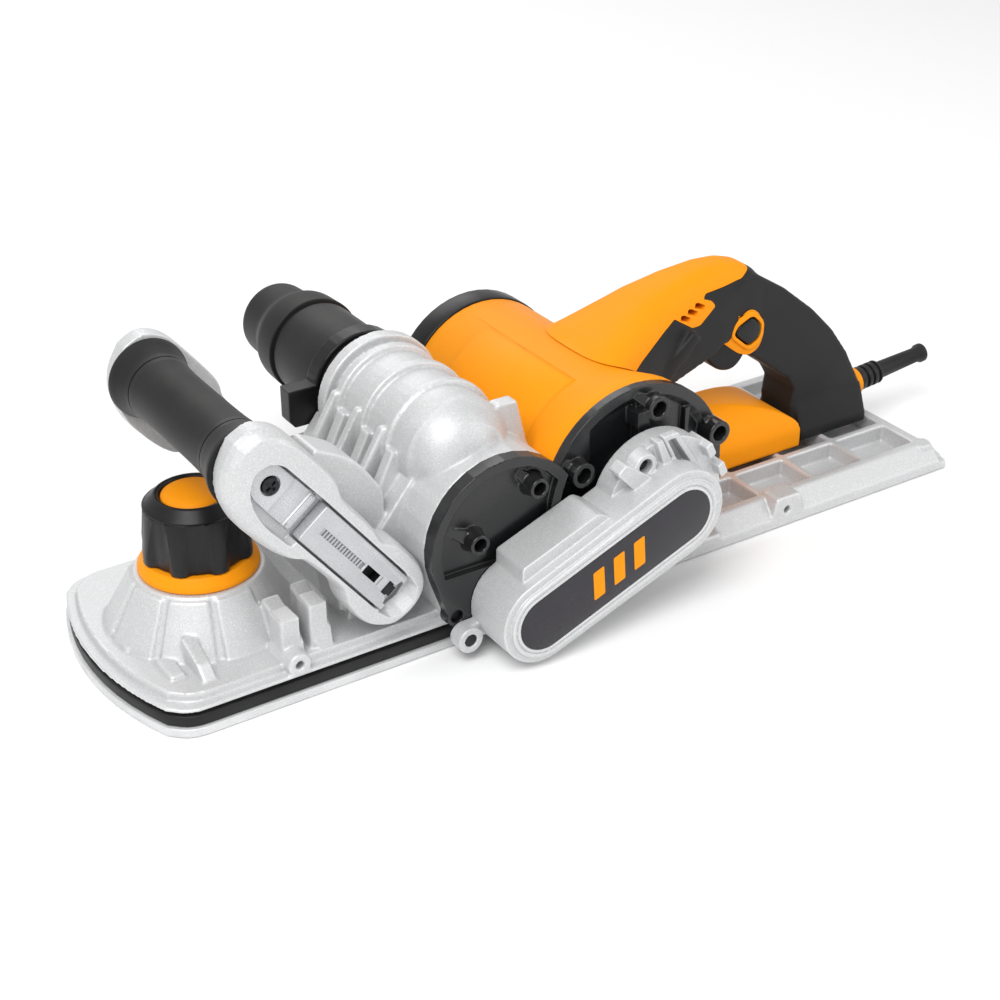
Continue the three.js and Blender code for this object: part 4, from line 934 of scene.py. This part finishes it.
@dataclass
class CutterBlock:
    """Drum, blades, wedges, bearings, pulleys and belt."""

    edge: float = 0.3

    def build(self, bench: Bench) -> None:
        """Rounds the edges of each and mounts it."""
        parts = [("cutter_drum", "cutter", DRUM), ("drum_pulley", "cutter", STEEL),
            ("motor_pulley", "rotor", STEEL), ("drum_bearing_far", "planer_body", STEEL),
            ("drum_bearing_near", "planer_body", STEEL), ("motor_bearing_far", "planer_body", STEEL),
            ("motor_bearing_near", "planer_body", STEEL), ("drive_belt", "planer_body", RUBBER),
            ("armature", "rotor", IRON), ("commutator", "rotor", COPPER), ("cooling_fan", "rotor", BLACK),
            ("field_core", "planer_body", IRON), ("brush_top", "planer_body", CARBON),
            ("brush_bottom", "planer_body", CARBON)]
        parts += [(f"blade_{i}", "cutter", BLADE) for i in (1, 2, 3)] + [(f"blade_wedge_{i}", "cutter",
            STEEL) for i in (1, 2, 3)]
        for node, body, finish in parts:
            bench.worked(node, node + "_worked", body, finish, self.edge,
                1 if node.startswith("blade") else 2)


@dataclass
class MotorShell:
    """Orange motor housing and its black far cap."""

    at: Point = MOTOR_AXIS
    radius: float = 63.5

    def build(self, bench: Bench) -> None:
        """Makes and mounts both."""
        shell = bench.refit("motor_housing")
        panel = bench.rod(Axis.Y, self.at, -42, 62, self.radius + 0.9, sides=160)
        bench.work(panel, Cut.KEEP, bench.slab([(44, 92, 4), (52, 170), (92, 170), (96, 110, 4)], -42, 62))
        bench.work(shell, Cut.ADD, panel)
        bench.bevel(bench.tidy(shell), 0.7, 2, 40)
        bench.settle(shell, "shell_motor", "planer_body", ORANGE, 40, ["motor_housing"])
        bench.worked("motor_end_cap", "cap_motor", "planer_body", BLACK, 0.8, angle=40, sharp=40)


@dataclass
class SidePlates:
    """Black end plates of the drum and the motor, with their screws."""

    drum_tubes: tuple[Point, ...] = ((-40.0, 30.0), (-26.0, 82.0), (19.0, 109.0))
    motor_tubes: tuple[Point, ...] = ((60.0, 102.0), (120.0, 134.0), (173.0, 101.0))

    @staticmethod
    def web(bench: Bench, tube: Corner, rim: Corner, y0: float, y1: float) -> Obj:
        """A thin wall from a screw tube to the rim, highest at the tube."""
        along = Vector((rim[0] - tube[0], rim[1] - tube[1]))
        across = Vector((-along.y, along.x)).normalized()
        root = [(tube[0] + across.x * w, tube[1] + across.y * w) for w in (-5.5, 5.5)]
        tip = [(rim[0] + across.x * w, rim[1] + across.y * w) for w in (1.2, -1.2)]
        back = [(x, y1, z) for x, z in (*root, *tip)]
        front = [(x, y0, z) for x, z in root] + [(x, y0 + (y1 - y0) * 0.8, z) for x, z in tip]
        return bench.stack([back, front])

    def build(self, bench: Bench) -> None:
        """Adds webs and bosses, softens the plates and mounts them."""
        plate = bench.refit("drum_side_plate")
        for tube, rim in zip(self.drum_tubes[1:], ((-50, 96), (4, 124))):
            bench.work(plate, Cut.ADD, bench.rod(Axis.Y, tube, -106, -93.6, 7.4, 9.6, 40),
                self.web(bench, tube, rim, -105, -93.6))
            bench.work(plate, Cut.TAKE, bench.rod(Axis.Y, tube, -107, -90, 4.7, sides=32))
        bench.mould(plate, 0.6, 2, 0.5)
        bench.settle(plate, "plate_drum", "planer_body", GLOSS, 60, ["drum_side_plate"])
        other = bench.refit("motor_end_plate")
        for tube, rim in zip(self.motor_tubes, ((48, 112), (103, 146), (166, 113))):
            bench.work(other, Cut.ADD, self.web(bench, tube, rim, -101, -87))
            bench.work(other, Cut.TAKE, bench.rod(Axis.Y, tube, -104, -92, 5.4, sides=32))
        bench.mould(other, 0.6, 2, 0.5)
        bench.settle(other, "plate_motor", "planer_body", GLOSS, 60, ["motor_end_plate"])
        for i in (1, 2, 3):
            bench.worked(f"plate_screw_{i}", f"screw_plate_{i}", "planer_body", BLACKED, 0.4)


@dataclass
class BeltCover:
    """Cast cover over the belt, with its dark badge and screws."""

    drum: Point = DRUM_AXIS
    motor: Point = MOTOR_AXIS
    face: float = -147.0
    bar_step: float = 17.0
    bar_half: float = 10.0

    def ring(self, bench: Bench, outer: float, inner: float, y0: float, y1: float) -> Obj:
        """A rim round the badge between two radii."""
        body = bench.slab(capsule((*self.drum, outer), (*self.motor, outer + 0.01)), y0, y1)
        return bench.work(body, Cut.TAKE, bench.slab(capsule((*self.drum, inner),
            (*self.motor, inner + 0.01)), y0 - 1, y1 + 1))

    def crown(self, bench: Bench, cover: Obj) -> None:
        """Screw boss, block, post, framed pocket and rim lugs on the crown."""
        boss = bench.rod(Axis.Y, (91, 111), -127, -118, 8.6, 11, 40)
        block = bench.slab([(66, 113, 2), (73, 119, 2), (103, 97, 1), (98, 89, 1), (88, 90, 1)], -130, -118)
        post = bench.slab([(99, 126, 1), (104, 126, 1), (118, 96, 1), (111, 94, 1)], -127, -118)
        frame_out = bench.slab([(106, 126.5, 1), (118.5, 127, 1), (137, 99, 1), (123, 93, 1)], -124, -118)
        frame_in = bench.slab([(110.5, 123, 0.5), (116.5, 123.4, 0.5), (131, 100.5, 0.5), (123.5, 97.5, 0.5)],
            -126, -115)
        lugs = [bench.slab([(x, z, 1), (x + 5, z + 3, 1), (x + 9, z - 6, 1), (x + 4, z - 9, 1)], -130,
            -108) for x, z in ((138, 112), (149, 95))]
        bench.work(cover, Cut.ADD, boss, block, post, frame_out, *lugs)
        bench.work(cover, Cut.TAKE, frame_in, bench.rod(Axis.Y, (91, 111), -128, -115, 5.4, sides=40))

    def build(self, bench: Bench) -> None:
        """Makes and mounts the cover, badge, marks and screws."""
        cover = bench.refit("belt_cover")
        self.crown(bench, cover)
        for outer, inner, depth in ((50, 29.4, 1.6), (22.6, 21.2, 1.2), (26.4, 25.2, 0.9)):
            bench.work(cover, Cut.TAKE, self.ring(bench, outer, inner, self.face - 1, self.face + depth))
        bench.mould(cover, 0.6, 1, 0.45)
        bench.settle(cover, "cover_belt", "planer_body", CAST, 60, ["belt_cover"])
        badge = bench.slab(capsule((*self.drum, 19.0), (*self.motor, 19.01)), self.face + 0.3,
            self.face + 1.3)
        bench.settle(bench.bevel(badge, 0.3, 2), "badge", "planer_body", BADGE, instead=["cover_badge"])
        self.marks(bench)
        for i in (1, 2):
            bench.worked(f"cover_screw_{i}", f"screw_cover_{i}", "planer_body", BLACKED, 0.4)

    def marks(self, bench: Bench) -> None:
        """Three plain slanted bars on the badge."""
        slope = Vector((self.motor[0] - self.drum[0], self.motor[1] - self.drum[1])).normalized()
        middle = (Vector(self.drum) + Vector(self.motor)) / 2
        bars = None
        for shift in (-self.bar_step, 0, self.bar_step):
            spots = [(shift - 6, -self.bar_half), (shift + 3, -self.bar_half), (shift + 9, self.bar_half),
                (shift, self.bar_half)]
            corners = [(middle.x + slope.x * a - slope.y * b, middle.y + slope.y * a + slope.x * b,
                1.2) for a, b in spots]
            bar = bench.slab(corners, self.face + 0.12, self.face + 0.6)
            bars = bar if bars is None else bench.work(bars, Cut.ADD, bar)
        bench.settle(bars, "badge_bars", "planer_body", ORANGE)


@dataclass
class RearGrip:
    """Orange spine and foot, black looped handle, trigger and lock-off button."""

    half: float = 18.0
    at: Point = MOTOR_AXIS
    room: float = 64.1
    parting: float = 0.5

    def around_motor(self, bench: Bench) -> Obj:
        """The room that the motor takes."""
        return bench.rod(Axis.Y, self.at, -130, 130, self.room, sides=128)

    def build(self, bench: Bench) -> None:
        """Makes and mounts the rear end."""
        self.shell(bench)
        bench.settle(self.foot(bench), "foot_orange", "planer_body", ORANGE, 50, ["rear_foot"])
        trigger = bench.slab([(237, 120), (230, 113, 3), (238, 101, 8), (248, 91, 8), (261, 88, 8),
            (270, 94, 6), (277, 108, 3), (276, 112)], -8.5, 8.5)
        bench.settle(bench.bevel(trigger, 2.2, 4, 40), "trigger_black", "switch_trigger", BLACK, 40,
            ["trigger"])
        bench.settle(self.bezel(bench), "bezel_orange", "planer_body", ORANGE, 40, ["trigger_bezel"])
        button = bench.slab([(267, 134.5, 4), (276, 126, 5), (274, 117, 4), (265, 112.5, 4), (251.5, 124, 4),
            (254, 129, 3)], -self.half - 3.6, -self.half + 1.2)
        bench.settle(bench.bevel(button, 1.5, 4, 40), "button_lock", "lock_off", BLACK, 40, ["lock_button"])
        bench.worked("switch_block", "switch_inside", "planer_body", BLACK, 1.0, 3, 40, 40)

    def bezel(self, bench: Bench) -> Obj:
        """The orange surround: a thin panel round the trigger and a raised ring for the button."""
        face = -self.half
        panel = bench.slab([(204, 121), (217, 118, 3), (231, 127.5, 3), (256, 108, 2), (266, 103.5, 4),
            (276, 107, 5), (280, 118, 4), (279, 127, 5), (273, 137, 5), (266, 140.5, 4), (257, 136.5, 1),
            (246, 144, 3), (228, 132, 2)], face - 1.8, face + 0.6)
        ring = bench.slab([(267, 140.8, 7), (279.6, 128, 6), (277.5, 113, 6), (265.5, 107, 6),
            (247, 122.5, 6), (252, 133.5, 5)], face - 3.2, face + 0.4)
        hole = bench.slab([(267, 136, 4.5), (277, 126.5, 5), (275, 116, 4), (265, 111, 4), (250, 124, 4),
            (253.5, 130, 3)], face - 6, face + 3)
        bench.work(panel, Cut.ADD, bench.bevel(ring, 1.0, 3))
        bench.work(panel, Cut.TAKE, hole)
        return bench.bevel(bench.tidy(panel), 0.35, 2, 40)

    def foot(self, bench: Bench) -> Obj:
        """The orange foot: domed on top, sloping down to the rear."""
        body = bench.slab([(150, 20.4), (313.5, 20.4), (313.5, 40, 6), (296, 52, 20), (262, 62, 30),
            (225, 66, 20), (150, 66)], -33, 33)
        arch = bench.beam([(-32.5, 15), (-32.5, 36, 5), (-26, 50, 14), (-8, 65, 20), (14, 67, 20),
            (32.5, 50, 20), (32.5, 15)], 140, 330)
        bench.work(body, Cut.KEEP, arch)
        bench.mould(body, 1.2, 8, 0.5)
        bench.work(body, Cut.KEEP, bench.block((100, 340), (-60, 60), (20.4, 100)))
        return bench.work(body, Cut.TAKE, self.around_motor(bench))

    def shell(self, bench: Bench) -> None:
        """Spine and loop, moulded as one form and parted along their seam."""
        side = [(160, 84), (176, 112), (205, 128), (240, 150), (258, 166), (272, 165.5), (300, 148),
            (330, 124), (350, 104), (368, 80), (382, 55), (390, 36), (389, 20), (316, 20), (314, 48),
            (316, 62), (309, 73), (290, 87), (276, 98), (266, 103.5), (256, 109), (240, 120), (222, 117),
            (204, 110), (192, 101), (178, 90)]
        body = bench.slab(side, -60, 60)
        plan = bench.plate([(150, -24), (205, -22, 30), (270, -self.half, 30), (400, -self.half),
            (400, self.half), (270, self.half, 30), (205, 22, 30), (150, 24)], 0, 190)
        bench.work(body, Cut.KEEP, plan)
        bench.work(body, Cut.ADD, self.spine(bench))
        base = bench.beam([(-27, 20), (-27, 27), (-self.half, 50), (self.half, 50), (27, 27), (27, 20)], 319,
            386)
        pillar = bench.slab([(172, 116, 2), (181, 110, 3), (210, 137, 2), (203, 144, 2)], -35, 35)
        bench.work(body, Cut.ADD, base, pillar)
        bench.mould(body, 1.25, 15, 0.5)
        bench.work(body, Cut.KEEP, bench.block((100, 400), (-60, 60), (20.3, 190)))
        bench.work(body, Cut.TAKE, self.around_motor(bench), bench.rod(Axis.Y, self.at, -72, -43.5, 74.5,
            self.room, 96))
        spine = bench.twin(body)
        bench.work(spine, Cut.KEEP, self.seam(bench, 0))
        bench.work(body, Cut.TAKE, self.seam(bench, self.parting))
        for x, z in ((194.5, 150), (202, 152.5), (209.5, 155)):
            vent = bench.slab([(x, z + 1.2), (x + 1.2, z + 4.4, 1), (x + 4, z + 4.2, 1),
                (x + 10.5, z + 0.6, 1), (x + 8.6, z - 2, 1)], -60, -12)
            bench.work(spine, Cut.TAKE, vent)
        bench.settle(spine, "spine_orange", "planer_body", ORANGE, 40, ["rear_body"])
        slot = bench.block((231, 279), (-9, 9), (80, 122))
        room = bench.block((231, 279), (-12, 12), (121, 145))
        pocket = bench.slab([(250, 124), (254, 131), (268, 137), (279, 127), (277, 114), (265, 109)],
            -self.half - 3, -self.half + 7)
        bench.work(body, Cut.TAKE, slot, room, pocket)
        bench.settle(body, "loop_black", "planer_body", RUBBER, 40, ["rear_handle"])

    @staticmethod
    def spine(bench: Bench) -> Obj:
        """The rounded ridge from the motor to the top of the loop."""
        sections = []
        for x, half, top, floor in ((104, 62, 134, 92), (128, 52, 147, 96), (152, 42, 158, 100),
                (178, 34, 168.5, 104), (205, 28, 175, 108), (232, 23.5, 178.3, 114), (250, 20.5, 177.5, 124),
                (264, 18.5, 173.5, 134), (276, 17.5, 166, 140)):
            arch = []
            for i in range(33):
                turn = math.pi * i / 32
                c, r = math.cos(turn), math.sin(turn)
                arch.append((x, -half * math.copysign(abs(c) ** 0.62, c), floor + (top - floor) * r ** 0.62))
            sections.append(arch)
        return bench.stack(sections)

    @staticmethod
    def seam(bench: Bench, less: float) -> Obj:
        """Everything above the seam, with the tab that carries the vents."""
        line = [(300, 176), (270, 170), (256, 165.5), (240, 164, 3), (221, 163.5, 2), (219, 160.5, 1),
            (227, 157, 1), (230, 152.5, 2), (214, 142.5, 2), (206, 143, 2), (189, 154, 1), (150, 134, 4),
            (90, 100)]
        return bench.slab([(90, 220), (300, 220), *[(x, z - less, *more) for x, z, *more in line]], -80, 80)


@dataclass
class DustPort:
    """Stepped black dust nozzle and its clamp."""

    at: Point = CHUTE_AXIS
    end: float = 196.0

    def build(self, bench: Bench) -> None:
        """Makes and mounts both."""
        profile = [(30.5, 48.4), (34.5, 48.4, 1), (34.5, 131, 0.6), (32.8, 131.2, 0.2), (32.8, 134.4, 0.2),
            (36.4, 134.8, 1), (35.6, 157, 5), (29.2, 168, 5), (28, self.end - 3, 2), (27, self.end, 1), (24, self.end, 1),
            (24, 164, 2), (30.5, 156, 2)]
        bench.settle(bench.turned(profile, Axis.Y, self.at, 96), "nozzle", "planer_body", RUBBER, 40,
            ["dust_port"])
        clamp = bench.refit("port_clamp")
        bench.work(clamp, Cut.TAKE, bench.slab([(-76, 92), (-76, 116), (-57, 92)], 60, 80),
            bench.slab([(-57, 92), (-30, 92), (-30, 112)], 60, 80))
        bench.mould(clamp, 0.8, 3, 0.5)
        bench.settle(clamp, "clamp_port", "planer_body", BLACK, 40, ["port_clamp"])


@dataclass
class CordEntry:
    """Orange ring and black sleeve where the cord comes in."""

    edge: float = 0.5

    def build(self, bench: Bench) -> None:
        """Makes and mounts both."""
        bench.worked("boot_ring", "ring_cord", "planer_body", ORANGE, self.edge, angle=40, sharp=40)
        bench.worked("cord_boot", "sleeve_cord", "planer_body", RUBBER, self.edge, angle=40, sharp=40)


# ---------------------------------------------------------------- stage
@dataclass
class Studio:
    """Camera, pale floor and soft lights."""

    eye: tuple[float, float, float] = (-0.6781, -0.9850, 0.6849)
    azimuth: float = -33.26
    elevation: float = 29.47
    lens: float = 67.1

    def build(self) -> None:
        """Sets up the studio."""
        scene = bpy.context.scene
        camera = bpy.data.cameras.new("camera")
        camera.lens, camera.sensor_width = self.lens, 36
        camera.clip_start, camera.clip_end = 0.01, 50
        holder = bpy.data.objects.new("camera", camera)
        holder.location = self.eye
        holder.rotation_euler = (math.radians(90 - self.elevation), 0, math.radians(self.azimuth))
        scene.collection.objects.link(holder)
        scene.camera = holder
        scene.view_settings.view_transform = "Standard"
        world = bpy.data.worlds.new("studio")
        world.use_nodes = True
        world.node_tree.nodes["Background"].inputs["Color"].default_value = (1, 1, 1, 1)
        world.node_tree.nodes["Background"].inputs["Strength"].default_value = 0.62
        scene.world = world
        bpy.ops.mesh.primitive_plane_add(size=8, location=(0, 0, -0.0005))
        floor = bpy.context.object
        floor.name = "floor"
        paper = bpy.data.materials.new("paper")
        paper.use_nodes = True
        paper.node_tree.nodes["Principled BSDF"].inputs["Base Color"].default_value = (0.93, 0.93, 0.93, 1)
        paper.node_tree.nodes["Principled BSDF"].inputs["Roughness"].default_value = 0.9
        floor.data.materials.append(paper)
        self.lamp("key", (-1.1, -0.9, 1.9), 1.3, 36)
        self.lamp("side", (1.6, -1.4, 1.1), 1.2, 9)
        self.lamp("back", (0.4, 1.8, 1.6), 1.4, 12)

    def lamp(self, name: str, place: tuple[float, float, float], size: float, power: float) -> None:
        """One square soft light that looks at the middle."""
        data = bpy.data.lights.new(name, "AREA")
        data.size, data.energy = size, power
        obj = bpy.data.objects.new(name, data)
        obj.location = place
        obj.rotation_euler = (Vector((0, 0, 0.08)) - Vector(place)).to_track_quat("-Z", "Y").to_euler()
        bpy.context.scene.collection.objects.link(obj)


def main() -> None:
    """Builds the studio and every sub-assembly."""
    logging.basicConfig(level=logging.INFO, format="%(message)s")
    Studio().build()
    bench = Bench()
    for kind in (Soles, FrontCasting, DepthControl, FrontHandle, CutterBlock, MotorShell, SidePlates,
            BeltCover, RearGrip, DustPort, CordEntry):
        LOG.info("-- %s", kind.__name__)
        kind().build(bench)


if __name__ == "__main__":
    main()
